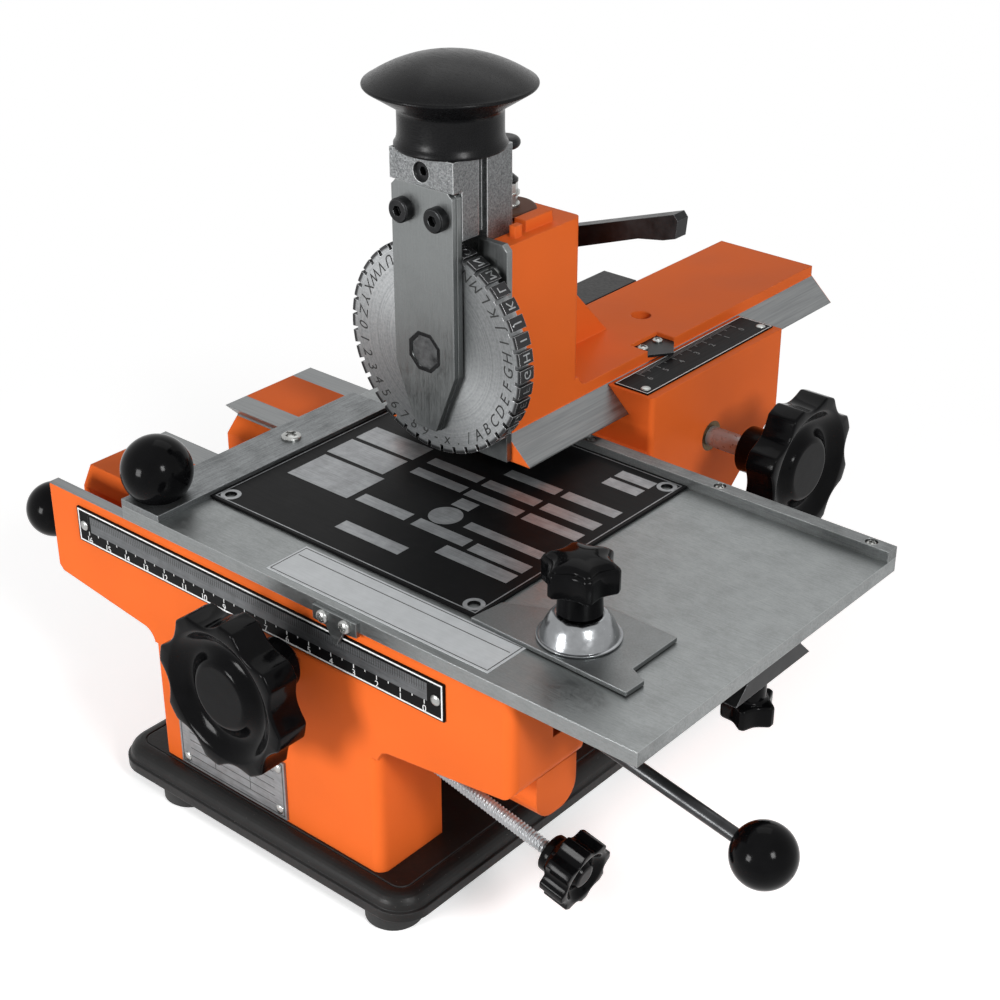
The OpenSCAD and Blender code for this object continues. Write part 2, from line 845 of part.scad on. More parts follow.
module y_scale() {
    x0 = head_x + slot_half_top + y_scale_inset;
    color(black) placed() difference() {
        box([x0, saddle_y0 + y_scale_end, saddle_top],
            [x0 + y_scale_w, saddle_y1 - y_scale_end, saddle_top + y_plate_t]);
        rivet_holes();
    }
}

module spec_plate() {
    color(steel) placed() difference() {
        box([spec_x0, -plate_t, base_top + spec_lift], [spec_x0 + spec_w, 0, base_top + spec_lift + spec_h]);
        rivet_holes();
    }
}

module block_cover() {
    color(black) placed()
        box([block_x0 + y_scale_inset / 2, saddle_y0 + y_scale_end, saddle_top],
            [head_x - slot_half_top - cover_inset, saddle_y1 - y_scale_end, saddle_top + cover_t]);
}

module lever_pin() {
    color(steel) placed() bar_y([lever_x, lever_y - lever_pin_l / 3, lever_z], lever_pin_d, lever_pin_l);
}

function left_screw() = [table_x0 + fence_w / 2 + 1.2 * fence_t - table_t / 2.5, fence_screw_y];
function back_screw_y() = (table_y1 + sample_back()) / 2;
function sample_back() = table_y1 - back_fence_w;

module stud_hole(x, y, d, z0, z1) {
    bar_z([x, y, z0], d + 2 * push_fit, z1 - z0);
}

module work_table() {
    color(zinc) placed() difference() {
        box([table_x0, -table_lip, table_z], [table_x1, table_y1, table_top]);
        stud_hole(clamp_x, clamp_y, stud_d, table_z + table_t / 3, table_top + over);
        stud_hole(handle_x, handle_y, handle_stud_d, table_z + table_t / 3, table_top + over);
        stud_hole(left_screw()[0], left_screw()[1], screw_core_d, table_z + table_t / 3, table_top + over);
        for (x = back_screw_xs) stud_hole(x, back_screw_y(), screw_core_d, table_z + table_t / 3,
            table_top + over);
        for (side = [-1, 1])
            bar_y([pointer_x + side * pointer_screw_gap / 2, -table_lip - over, table_z + table_t / 4],
                screw_core_d + 2 * push_fit, table_t + over);
    }
}

module table_slider() {
    y0 = channel_y0 + slider_side;
    y1 = rear_y0 - slider_side;
    spread = (rail_top - slider_z) * undercut_d / undercut_h;
    color(dark_steel) placed() difference() {
        along_x(slider_x0, table_x1 - seat_gap) polygon([
            [y0 - spread, slider_z], [y1 + spread, slider_z], [y1, rail_top],
            [y1, table_z], [y0, table_z], [y0, rail_top]]);
        bar_z([under_x, under_y, slider_z - over], stud_d + 2 * run_fit, under_screw_l + over);
    }
}

module table_rack() {
    color(steel) placed() translate([x_drive_x, x_rack_y + gear_w, 0]) rotate([90, 0,
        0]) linear_extrude(gear_w)
        rack_outline(x_rack_x0 - x_drive_x, x_rack_x1 - x_drive_x, slider_z - x_rack_h, slider_z);
}

module left_fence() {
    color(dark_steel) placed() difference() {
        box([table_x0, -table_lip, table_top], [table_x0 + fence_w, left_fence_l - table_lip, table_top
            + fence_t]);
        stud_hole(handle_x, handle_y, handle_stud_d, table_top - over, table_top + fence_t + over);
        stud_hole(left_screw()[0], left_screw()[1], screw_core_d, table_top - over, table_top + fence_t
            + over);
    }
}

module back_fence() {
    color(dark_steel) placed() difference() {
        box([table_x0 + fence_w, sample_back(), table_top], [table_x1, table_y1, table_top + back_fence_h]);
        for (x = back_screw_xs) {
            stud_hole(x, back_screw_y(), screw_core_d, table_top - over, table_top + back_fence_h + over);
            bar_z([x, back_screw_y(), table_top + back_fence_h - fence_screw_h], back_fence_w * 0.84,
                back_fence_h);
        }
    }
}

module table_screws() {
    color(steel) placed() {
        translate([left_screw()[0], left_screw()[1], table_top + fence_t])
            cross_screw(fence_screw_d, fence_screw_h, fence_t + table_t / 2);
        for (x = back_screw_xs) translate([x, back_screw_y(), table_top + back_fence_h - fence_screw_h])
            cross_screw(back_fence_w * 0.8, fence_screw_h, back_fence_h - fence_screw_h + table_t / 2);
        for (side = [-1, 1])
            translate([pointer_x + side * pointer_screw_gap / 2, -table_lip - pointer_t, table_z
                + table_t / 4])
                rotate([90, 0, 0]) cross_screw(pointer_screw_d, pointer_screw_h, pointer_t + table_t / 2);
    }
}

module x_pointer() {
    z1 = table_top - table_t / 4;
    color(steel) placed() difference() {
        along_y(-table_lip - pointer_t, -table_lip) polygon([
            [pointer_x - pointer_w / 2, z1], [pointer_x - pointer_w / 2, table_z - table_t / 4],
            [pointer_x - pointer_w / 5, table_z - table_t / 3], [pointer_x - pointer_tip_w / 2,
                z1 - pointer_drop],
            [pointer_x + pointer_tip_w / 2, z1 - pointer_drop], [pointer_x + pointer_w / 5,
                table_z - table_t / 3],
            [pointer_x + pointer_w / 2, table_z - table_t / 4], [pointer_x + pointer_w / 2, z1]]);
        for (side = [-1, 1])
            bar_y([pointer_x + side * pointer_screw_gap / 2, -table_lip - pointer_t - over, table_z
                + table_t / 4],
                screw_core_d + 2 * push_fit, pointer_t + 2 * over);
    }
}

module label_plate() {
    color("#D8DADB") placed() box([label_x0, label_y0, table_top], [label_x1, label_y1, table_top
        + label_t]);
}

module sample_plate() {
    x0 = table_x0 + fence_w + push_fit;
    y1 = sample_back() - push_fit;
    color(black) placed() difference() {
        box([x0, sample_y0, table_top], [sample_x1, y1, table_top + sample_t]);
        for (x = [x0 + sample_hole_inset, sample_x1 - sample_hole_inset],
             y = [sample_y0 + sample_hole_inset, y1 - sample_hole_inset])
            bar_z([x, y, table_top - over], sample_hole_d, sample_t + 2 * over);
    }
}

module handle_stud() {
    color(steel) placed() bar_z([handle_x, handle_y, table_z + table_t / 3], handle_stud_d,
        table_t * 2 / 3 + fence_t + handle_rise);
}

module handle_ball() {
    z0 = table_top + fence_t;
    color(black) placed() difference() {
        translate([handle_x, handle_y, z0 + handle_rise]) sphere(d = handle_d);
        box([handle_x - handle_d, handle_y - handle_d, z0 - handle_d], [handle_x + handle_d, handle_y
            + handle_d, z0]);
        bar_z([handle_x, handle_y, z0 - over], handle_stud_d + 2 * glue_gap, handle_rise + over + glue_gap);
    }
}

module clamp_stud() {
    color(steel) placed() bar_z([clamp_x, clamp_y, table_z + table_t / 3], stud_d,
        clamp_knob_z + clamp_hub_h - table_z - table_t / 3);
}

// Clamp plate seen from above, as places from the stud in shares of the pad's width
clamp_shares = [[-0.525, -0.225], [0.485, -0.253], [0.49, -0.115], [0.385, -0.067],
    [0.385, 0.303], [-0.072, 0.312], [-0.12, 0.18], [-0.5, -0.013]];

module clamp_plate() {
    color(zinc) placed() difference() {
        translate([clamp_x, clamp_y, clamp_z]) linear_extrude(clamp_t)
            polygon([for (p = clamp_shares) p * clamp_pad_w]);
        bar_z([clamp_x, clamp_y, clamp_z - over], stud_d + 4 * run_fit, clamp_t + 2 * over);
    }
}

module dome_washer() {
    rim = dome_d / 2;
    color(steel) placed() translate([clamp_x, clamp_y, clamp_plate_top]) difference() {
        rotate_extrude() polygon(concat([[0, 0], [rim, 0], [rim, dome_rim_h]],
            [for (i = [0:8]) let (a = i * 9)
                [clamp_hub_d / 2 + (rim - dome_rim_h - clamp_hub_d / 2) * cos(a),
                 dome_rim_h + (dome_h - dome_rim_h) * sin(a)]],
            [[0, dome_h]]));
        bar_z([0, 0, -over], stud_d + 4 * run_fit, dome_h + 2 * over);
    }
}

module clamp_knob() {
    color(black) placed() translate([clamp_x, clamp_y, clamp_knob_z])
        star_knob(clamp_knob_d, clamp_lobes, clamp_hub_d, clamp_hub_h, clamp_star_h, clamp_crown_h,
            stud_d + 4 * run_fit, clamp_hub_h + seat_gap);
}

module under_knob() {
    color(black) placed() translate([under_x, under_y, slider_z - seat_gap]) {
        rotate([180, 0, 0]) star_knob(under_knob_d, under_lobes, under_hub_d, under_hub_h, under_star_h,
            under_star_h / 8, stud_d / 2, stud_d);
        translate([0, 0, -stud_d]) cylinder(d = stud_d, h = stud_d + under_screw_l - seat_gap);
    }
}

// Handwheel with its face at z = 0 and its hub below
module handwheel() {
    r = wheel_d / 2;
    disc_r = r * 0.385;
    dish_r = r * 0.75;
    dish_d = wheel_rim_t * 0.42;
    edge = wheel_rim_t / 8;
    difference() {
        union() {
            intersection() {
                translate([0, 0, -wheel_rim_t]) linear_extrude(wheel_rim_t)
                    rotate([0, 0, wheel_turn]) polygon(wheel_rim(r, wheel_lobes, r * 0.118, 14));
                rotate_extrude() polygon([
                    [0, -wheel_rim_t], [r - 2 * edge, -wheel_rim_t], [r + edge, edge - wheel_rim_t],
                    [r + edge, -2 * edge], [r - edge, 0], [0, 0]]);
            }
            translate([0, 0, -wheel_rim_t - hub_l]) rotate_extrude() polygon([
                [0, 0], [hub_end_d / 2, 0], [hub_end_d / 2, hub_l / 2], [hub_d / 2, hub_l], [0, hub_l]]);
        }
        rotate_extrude() polygon([
            [disc_r, over], [disc_r, -dish_d / 3], [disc_r + dish_d / 3, -dish_d],
            [(disc_r + dish_r) / 2, -dish_d], [dish_r, 0], [dish_r, over]]);
        translate([0, 0, -wheel_rim_t - hub_l - over])
            cylinder(d = shaft_d + 2 * push_fit, h = hub_l + wheel_rim_t / 2 + over);
    }
}

module x_handwheel() {
    color(black) placed() translate([x_drive_x, x_wheel_y, x_axis_z]) rotate([90, 0, 0]) handwheel();
}

module x_shaft() {
    y0 = x_wheel_y + wheel_rim_t / 2 + push_fit;
    color(steel) placed() bar_y([x_drive_x, y0, x_axis_z], shaft_d, x_rack_y + gear_w - y0);
}

module x_pinion() {
    color(steel) placed() translate([x_drive_x, x_rack_y + gear_w, x_axis_z]) rotate([90, 0, 0])
        pinion(x_teeth, gear_w, shaft_d + 2 * push_fit);
}

module y_handwheel() {
    color(black) placed() translate([y_wheel_x, y_drive_y, y_axis_z]) rotate([0, 90, 0]) handwheel();
}

module y_shaft() {
    x0 = head_x - y_gear_w / 2 - pinion_room - rear_bush_l + over;
    color(steel) placed() bar_x([x0, y_drive_y, y_axis_z], shaft_d,
        y_wheel_x - wheel_rim_t / 2 - push_fit - x0);
}

module y_pinion() {
    color(steel) placed() translate([head_x - y_gear_w / 2, y_drive_y, y_axis_z]) rotate([90, 0, 90])
        pinion(y_teeth, y_gear_w, shaft_d + 2 * push_fit);
}

module y_rack() {
    color(steel) placed() translate([head_x - y_gear_w / 2, y_drive_y, 0]) rotate([90, 0, 90])
        linear_extrude(y_gear_w)
            rack_outline(y_rack_y0 - y_drive_y, y_rack_y1 - y_drive_y, arm_z + y_rack_lift,
                arm_z + y_rack_lift + y_rack_h);
}

function y_pointer_screws() = [for (side = [-1, 1])
    [head_x + arm_w / 2 - 0.6 * notch_w, notch_y + side * y_pointer_screw_gap / 2]];
function guide_screws() = [for (side = [-1, 1], share = [0.12, 0.88])
    [head_x + side * (guide_gap + guide_w) / 2, arm_z + (column_top - arm_z) * share]];

module head_casting() {
    slot_w = ram_w / 2 + slot_gap;
    column_y1 = arm_y0 + column_w;
    color(orange) placed() difference() {
        union() {
            along_y(arm_y0, arm_y1) polygon([
                [head_x - dovetail_w / 2, arm_z], [head_x + dovetail_w / 2, arm_z],
                [head_x + arm_w / 2, slab_z], [head_x + arm_w / 2, slab_top],
                [head_x - arm_w / 2, slab_top], [head_x - arm_w / 2, slab_z]]);
            box([head_x - arm_w / 2, arm_y0, slab_z], [head_x + arm_w / 2, column_y1, column_top]);
            along_x(ridge_x, ridge_x + ridge_w) polygon([
                [ridge_y, column_top - over], [ridge_y + ridge_l, column_top - over],
                [ridge_y + ridge_l - over, column_top + ridge_h], [ridge_y, column_top + ridge_h]]);
            box([lug_x, lug_y, column_top - over], [lug_x + lug_w, lug_y + lug_l, column_top + lug_h]);
            along_x(gusset_x1 - gusset_t, gusset_x1) polygon([
                [column_y1 - over, slab_top - over], [column_y1 + gusset_l, slab_top - over],
                [column_y1 + gusset_l, slab_top], [column_y1 + gusset_l - gusset_run, slab_top + gusset_h],
                [column_y1 - over, slab_top + gusset_h]]);
            along_x(head_x - arm_w / 2, head_x + arm_w / 2) polygon(concat(
                [[column_y1 - over, slab_top - over], [column_y1 + foot_r, slab_top - over]],
                arc(column_y1 + foot_r, slab_top + foot_r, foot_r, 270, 180, 6),
                [[column_y1 - over, slab_top + foot_r]]));
        }
        edge_round([head_x + arm_w / 2, column_y1, slab_top + foot_r], column_r, column_h + ridge_h, 180);
        box([head_x - slot_w, arm_y0 - over, ram_slot_z], [head_x + slot_w, bar_y1 + slot_gap, column_top
            + 2 * over]);
        box([head_x - y_gear_w / 2 - pinion_room, y_rack_y0 - push_fit, arm_z - over],
            [head_x + y_gear_w / 2 + pinion_room, y_rack_y1 + push_fit, arm_z + y_rack_lift + y_rack_h]);
        bar_z([head_x, arm_hole_y, slab_top - arm_hole_h], arm_hole_d, arm_hole_h + over);
        box([head_x + arm_w / 2 - notch_w, notch_y - notch_l / 2, slab_top - notch_d],
            [head_x + arm_w / 2 + over, notch_y + notch_l / 2, slab_top + over]);
        for (p = y_pointer_screws()) bar_z([p[0], p[1], slab_z], screw_core_d + 2 * push_fit, slab_t + over);
        for (p = guide_screws()) bar_y([p[0], arm_y0 - over, p[1]], screw_core_d + 2 * push_fit,
            3 * guide_t + over);
        bar_z([stop_x, stop_y, column_top - stop_depth - over], stop_d + 4 * run_fit, stop_depth + 3 * over);
        bar_y([head_x, column_y1 - depth_shaft_l - over, depth_z], depth_shaft_d + 2 * run_fit, column_w);
    }
}

module guide_plate() {
    z0 = arm_z + guide_drop;
    z1 = column_top + guide_rise;
    half = guide_gap / 2 + guide_w;
    color(zinc) placed() difference() {
        along_y(arm_y0 - guide_t, arm_y0) polygon([
            [head_x - half, z0], [head_x + half, z0], [head_x + half, z1 - guide_chamfer],
            [head_x + half - guide_chamfer, z1], [head_x - half + guide_chamfer, z1],
            [head_x - half, z1 - guide_chamfer]]);
        box([head_x - guide_gap / 2, arm_y0 - guide_t - over, guide_slot_z], [head_x + guide_gap / 2,
            arm_y0 + over, z1 + over]);
        for (p = guide_screws())
            bar_y([p[0], arm_y0 - guide_t - over, p[1]], screw_core_d + 2 * push_fit, guide_t + 2 * over);
    }
}

module y_pointer() {
    z0 = slab_top - notch_d;
    x1 = head_x + arm_w / 2;
    color(black) placed() difference() {
        translate([0, 0, z0]) linear_extrude(y_pointer_t) polygon([
            [x1 - notch_w + push_fit, notch_y - notch_l / 2 + push_fit], [x1, notch_y - notch_l / 2
                + push_fit],
            [x1 + y_pointer_reach, notch_y], [x1, notch_y + notch_l / 2 - push_fit],
            [x1 - notch_w + push_fit, notch_y + notch_l / 2 - push_fit]]);
        for (p = y_pointer_screws()) bar_z([p[0], p[1], z0 - over], screw_core_d + 2 * push_fit, notch_d);
    }
}

module arm_screws() {
    head_d = 5.2;
    head_h = 1.2;
    color(steel) placed() {
        for (p = y_pointer_screws()) translate([p[0], p[1], slab_top - notch_d + y_pointer_t])
            cross_screw(head_d * 0.8, head_h, y_pointer_t + slab_t - notch_d - push_fit);
        for (p = guide_screws()) translate([p[0], arm_y0 - guide_t, p[1]]) rotate([90, 0, 0])
            cross_screw(head_d, head_h, 3 * guide_t);
    }
}

module stop_boss() {
    r = stop_boss_d / 2;
    color("#7A4A38") placed() translate([stop_x, stop_y, column_top]) difference() {
        rotate_extrude() polygon(concat([[0, 0]],
            [for (i = [0:6]) [r - stop_boss_h / 2 + stop_boss_h / 2 * cos(i * 15), stop_boss_h * (0.5
                + 0.5 * sin(i * 15))]],
            [[0, stop_boss_h]]));
        bar_z([0, 0, -over], stop_d + 4 * run_fit, stop_boss_h + 2 * over);
    }
}

module stop_nuts() {
    washer_t = stop_nut_h / 4;
    color(steel) placed() translate([stop_x, stop_y, column_top + stop_boss_h]) difference() {
        for (i = [0:1]) translate([0, 0, i * (stop_nut_h + washer_t)]) {
            cylinder(d = stop_nut_d + washer_t, h = washer_t);
            translate([0, 0, washer_t]) cylinder(d = stop_nut_d, h = stop_nut_h, $fn = 6);
        }
        bar_z([0, 0, -over], stop_d + 4 * run_fit, 3 * stop_nut_h + 2 * over);
    }
}

module stop_screw() {
    stack_h = stop_boss_h + 2.5 * stop_nut_h;
    color(black) placed() translate([stop_x, stop_y, column_top]) {
        translate([0, 0, -stop_depth]) cylinder(d = stop_d, h = stop_depth + stop_rise - stop_knob_h / 2);
        translate([0, 0, stack_h + seat_gap]) rotate_extrude() polygon([
            [0, 0], [cone_d / 2, 0], [cone_d / 2, cone_h / 4], [stop_d / 2, cone_h], [0, cone_h]]);
        translate([0, 0, stop_rise - stop_knob_h]) rotate_extrude() polygon(concat([[0, 0]],
            [for (i = [0:8]) let (a = -60 + i * 18.75)
                [stop_knob_d / 4 + stop_knob_d / 4 * cos(a), stop_knob_h * (0.5 + 0.5 * sin(a))]],
            [[0, stop_knob_h]]));
    }
}

module depth_lever() {
    hub_r = depth_hub_d / 2;
    tip_l = depth_l * 0.13;
    column_y1 = arm_y0 + column_w;
    color(black) placed() {
        translate([head_x, depth_y0 + depth_t, depth_z]) rotate([90, 0, 0]) {
            cylinder(d = depth_hub_d, h = depth_t + depth_stand - seat_gap);
            linear_extrude(depth_t) rotate([0, 0, depth_tilt]) polygon([
                [0, -depth_root / 2], [depth_l * 0.7, -depth_waist / 2], [depth_l - tip_l,
                    depth_root / 2 - depth_tip],
                [depth_l - tip_l / 3, depth_root / 2 - depth_tip], [depth_l, depth_waist / 4],
                [depth_l - tip_l / 8, depth_root / 2], [0, depth_root / 2]]);
        }
        bar_y([head_x, column_y1 - depth_shaft_l, depth_z], depth_shaft_d, depth_shaft_l + depth_stand
            + over);
    }
}

module ram_block() {
    x0 = head_x - ram_w / 2;
    x1 = head_x + ram_w / 2;
    color(zinc) placed() difference() {
        union() {
            box([x0, ram_y0, plate_seam], [x1, ram_y1, ram_top]);
            box([x0, plate_y1, ram_block_z], [x1, ram_y1, plate_seam]);
            box([head_x - web_w / 2, ram_y1 - over, ram_block_z], [head_x + web_w / 2, bar_y0 + over,
                ram_top]);
            box([x0, bar_y0, bar_z], [x1, bar_y1, ram_top]);
        }
        for (side = [-1, 1])
            bar_y([head_x + side * socket_gap / 2, plate_y1 - over, socket_z], socket_core_d + 2 * push_fit,
                ram_y1 - plate_y1 - over);
        bar_y([head_x, ram_y0 - over, set_z], set_d, set_l + set_recess + over);
    }
}

// Neck, a fillet into the slanted underside, a thin rim, and a dome that is part of a large sphere
module press_knob() {
    neck_r = neck_d / 2;
    cap_r = cap_d / 2;
    ball_r = (cap_r * cap_r + dome_rise * dome_rise) / (2 * dome_rise);
    arc_end = 90 + under_tilt;
    arc_x = neck_r + under_r;
    arc_z = cap_z - under_r * sin(arc_end) - (cap_r - arc_x - under_r * cos(arc_end)) * tan(under_tilt);
    color(black) placed() translate([head_x, knob_y, ram_top]) rotate_extrude($fn = 96) polygon(concat(
        [[0, 0], [neck_r * 1.06, 0], [neck_r * 1.02, cap_z * 0.06], [neck_r, cap_z * 0.2]],
        arc(arc_x, arc_z, under_r, 180, arc_end, 5),
        [[cap_r, cap_z], [cap_r, cap_z + cap_edge]],
        [for (i = [1:12]) let (x = cap_r * (1 - i / 12))
            [x, cap_z + cap_edge + dome_rise - ball_r + sqrt(ball_r * ball_r - x * x)]]));
}

module plate_outline(inset) {
    half = ram_w / 2 - plate_in - inset;
    tip = plate_tip_w / 2 - inset;
    top_z = plate_seam - push_fit;
    polygon([
        [head_x - tip, plate_tip_z + inset], [head_x + tip, plate_tip_z + inset],
        [head_x + half, plate_chamfer_z], [head_x + half, top_z - plate_corner],
        [head_x + half - plate_corner, top_z], [head_x - half + plate_corner, top_z],
        [head_x - half, top_z - plate_corner], [head_x - half, plate_chamfer_z]]);
}

module head_plate(y0, y1, inset) {
    color(zinc) placed() difference() {
        along_y(y0, y1) plate_outline(inset);
        bar_y([head_x, y0 - over, dial_z], dial_pin_d + 2 * push_fit, y1 - y0 + 2 * over);
        for (side = [-1, 1])
            bar_y([head_x + side * socket_gap / 2, y0 - over, socket_z], socket_core_d + 2 * push_fit,
                y1 - y0 + 2 * over);
    }
}

module front_plate() {
    head_plate(ram_y0, ram_y0 + outer_plate_t, plate_in);
}

module inner_plate() {
    head_plate(ram_y0 + outer_plate_t, plate_y1, 0);
}

module plate_screws() {
    color(black) placed() for (side = [-1, 1])
        translate([head_x + side * socket_gap / 2, ram_y0, socket_z]) rotate([90, 0, 0]) difference() {
            union() {
                rotate_extrude() polygon([
                    [0, 0], [socket_d / 2, 0], [socket_d / 2, socket_h * 0.85],
                    [socket_d / 2 - socket_h * 0.15, socket_h], [0, socket_h]]);
                translate([0, 0, -(ram_y1 - ram_y0) + 2 * over]) cylinder(d = socket_core_d,
                    h = ram_y1 - ram_y0 - over);
            }
            translate([0, 0, socket_h - socket_hex_d]) cylinder(d = socket_hex, h = socket_h, $fn = 6);
        }
}

module set_screw() {
    color(black) placed() translate([head_x, ram_y0 + set_recess, set_z]) rotate([-90, 0, 0]) difference() {
        cylinder(d = set_d - 2 * push_fit, h = set_l);
        translate([0, 0, -over]) cylinder(d = set_hex, h = socket_hex_d + over, $fn = 6);
    }
}

module dial_pin() {
    back_y = dial_y0 + dial_t + seat_gap / 2;
    color(dark_steel) placed() {
        bar_y([head_x, ram_y0 + pin_front, dial_z], dial_pin_d, back_y - ram_y0 - pin_front);
        bar_y([head_x, back_y, dial_z], pin_flange_d, pin_flange_t);
    }
}

module type_wheel() {
    r = dial_d / 2;
    color(steel) placed() translate([head_x, dial_y0 + dial_t, dial_z]) rotate([90, 0, 0]) difference() {
        rotate_extrude($fn = 120) polygon([
            [dial_pin_d / 2 + run_fit, 0], [r, 0], [r, dial_t], [dial_hub_d / 2, dial_t],
            [dial_hub_d / 2 - dial_hub_recess, dial_t - dial_hub_recess],
            [dial_pin_d / 2 + run_fit, dial_t - dial_hub_recess]]);
        for (i = [0:dial_types - 1]) rotate([0, 0, (i + 0.5) * 360 / dial_types])
            translate([r - type_slot_d, -type_slot_w / 2, -over]) cube([type_slot_d + over, type_slot_w,
                dial_t + 2 * over]);
    }
}

// Helical spring as one tube; each ring of points faces along the wire
function spring_centre(t) =
    let (r = (spring_d - spring_wire) / 2, a = 360 * spring_turns * t)
    [head_x + r * cos(a), spring_y + r * sin(a),
     spring_z0 + spring_wire / 2 + (spring_z1 - spring_z0 - spring_wire) * t];
spring_steps = spring_turns * spring_rings;
spring_points = [for (i = [0:spring_steps]) let (
        t = i / spring_steps, a = 360 * spring_turns * t, c = spring_centre(t),
        out = [cos(a), sin(a), 0], rise = (spring_z1 - spring_z0 - spring_wire) / spring_turns,
        run = PI * (spring_d - spring_wire), l = sqrt(rise * rise + run * run),
        up = [sin(a) * rise / l, -cos(a) * rise / l, run / l])
    each [for (k = [0:spring_sides - 1]) let (b = 360 * k / spring_sides)
        c + spring_wire / 2 * (cos(b) * out + sin(b) * up)]];
spring_gap = (spring_z1 - spring_z0 - spring_wire) / spring_turns - spring_wire;
echo(least_gap_between_spring_turns = spring_gap);

module return_spring() {
    n = spring_sides;
    color(steel) placed() polyhedron(points = spring_points, faces = concat(
        [[for (k = [0:n - 1]) k]],
        [for (i = [0:spring_steps - 1], k = [0:n - 1]) let (a = i * n + k, b = i * n + (k + 1) % n)
            each [[a, a + n, b], [b, a + n, b + n]]],
        [[for (k = [n - 1:-1:0]) spring_steps * n + k]]));
}

module lever_frame() {
    translate([lever_x, lever_y, lever_z]) rotate([0, 90 + advance_tilt, 0]) children();
}

module advance_rod() {
    color(steel) placed() {
        difference() {
            union() {
                bar_y([lever_x, lever_y - lever_eye_t / 2, lever_z], lever_eye_d, lever_eye_t);
                lever_frame() cylinder(d = lever_rod_d, h = lever_l);
            }
            bar_y([lever_x, lever_y - lever_eye_t, lever_z], lever_pin_d + 2 * run_fit, 2 * lever_eye_t);
        }
    }
}

module advance_ball() {
    color(black) placed() lever_frame() difference() {
        translate([0, 0, lever_l]) sphere(d = advance_ball_d);
        cylinder(d = lever_rod_d + 2 * glue_gap, h = lever_l + glue_gap);
    }
}

module release_rod() {
    color(steel) placed()
        bar_x([release_x, release_y, release_z], release_d, beam_x0
            + release_l - 2 * over - release_x - release_stroke);
}

module release_ball() {
    color(black) placed() translate([release_x, release_y, release_z]) rotate([0, 90, 0]) difference() {
        sphere(d = release_ball_d);
        translate([0, 0, -glue_gap]) cylinder(d = release_d + 2 * glue_gap, h = release_ball_d);
    }
}

// Frame of the pitch screw: z runs out along the screw from the pedestal's side
module pitch_frame() {
    translate([pitch_x, pitch_y, pitch_z]) rotate([0, 90 + pitch_tilt, 0]) children();
}

module pitch_screw() {
    color(steel) placed() pitch_frame() translate([0, 0, -pitch_in])
        cylinder(d = pitch_d, h = pitch_in + pitch_out + pitch_knob_t / 2);
}

module pitch_knob() {
    hub_h = pitch_knob_t / 3;
    color(black) placed() pitch_frame() translate([0, 0, pitch_out])
        star_knob(pitch_knob_d, pitch_lobes, pitch_knob_d * 0.6, hub_h, pitch_knob_t - hub_h, 0,
            pitch_d + 2 * push_fit, pitch_knob_t / 2 + push_fit);
}

rubber_feet();
base_plate();
casting_bolts();
front_casting();
rear_casting();
x_scale();
y_scale();
spec_plate();
plate_rivets();
shaft_bushes();
block_cover();
lever_pin();
work_table();
table_slider();
table_rack();
left_fence();
back_fence();
table_screws();
x_pointer();
label_plate();
sample_plate();
handle_ball();
handle_stud();
clamp_stud();
clamp_plate();
dome_washer();
clamp_knob();
under_knob();
x_handwheel();
x_shaft();
x_pinion();
head_casting();
guide_plate();
y_rack();
y_pointer();
arm_screws();
stop_boss();
stop_nuts();
return_spring();
y_handwheel();
y_shaft();
y_pinion();
ram_block();
press_knob();
front_plate();
inner_plate();
plate_screws();
set_screw();
dial_pin();
type_wheel();
depth_lever();
stop_screw();
advance_rod();
advance_ball();
release_rod();
release_ball();
pitch_screw();
pitch_knob();
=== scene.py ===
import math

import bpy
import numpy as np
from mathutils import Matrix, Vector


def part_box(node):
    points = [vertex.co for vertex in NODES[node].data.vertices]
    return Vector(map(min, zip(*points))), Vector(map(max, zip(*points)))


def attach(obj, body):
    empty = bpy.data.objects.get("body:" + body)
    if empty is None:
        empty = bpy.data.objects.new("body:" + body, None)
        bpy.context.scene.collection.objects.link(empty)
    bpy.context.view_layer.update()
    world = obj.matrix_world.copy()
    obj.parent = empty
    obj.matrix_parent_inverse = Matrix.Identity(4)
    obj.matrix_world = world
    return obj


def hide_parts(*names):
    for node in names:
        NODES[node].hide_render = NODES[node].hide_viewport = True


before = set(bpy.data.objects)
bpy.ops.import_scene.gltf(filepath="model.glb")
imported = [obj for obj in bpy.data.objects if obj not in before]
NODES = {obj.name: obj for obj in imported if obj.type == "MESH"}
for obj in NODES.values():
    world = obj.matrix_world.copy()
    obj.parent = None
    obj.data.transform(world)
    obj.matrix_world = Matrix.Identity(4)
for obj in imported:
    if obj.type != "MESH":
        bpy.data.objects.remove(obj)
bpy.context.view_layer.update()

bl_info = {
    "name": "Nameplate marking machine",
    "version": (1, 0, 0),
    "blender": (4, 5, 0),
    "location": "View3D > Sidebar > Marking machine",
    "description": "Turned knobs, engraved scales, type and finishes of a nameplate marking machine",
    "category": "Object",
}

# The machine is drawn in millimetres from the zero line of its front scale: X right, Y back from the
# front wall's face, Z up from the floor. This is where that point lies in the frame, in millimetres.
SCALE_ZERO = np.array([42.895, -133.65, 0.0])
MM = 0.001

CAMERA_PLACE = (0.365335, -0.47784, 0.4217)
CAMERA_TURN = (math.radians(61.56), 0.0, math.radians(40.40))
CAMERA_LENS = 67.23
MACHINE_MIDDLE = (0.0, 0.0, 0.11)


def linear(hex_colour):
    """An sRGB hex colour as linear red, green and blue."""
    value = [int(hex_colour[i:i + 2], 16) / 255 for i in (1, 3, 5)]
    return tuple(c / 12.92 if c <= 0.04045 else ((c + 0.055) / 1.055) ** 2.4 for c in value)


def colour_property(name, description, hex_colour):
    return bpy.props.FloatVectorProperty(
        name=name, description=description, default=linear(hex_colour), subtype="COLOR", size=3, min=0, max=1)


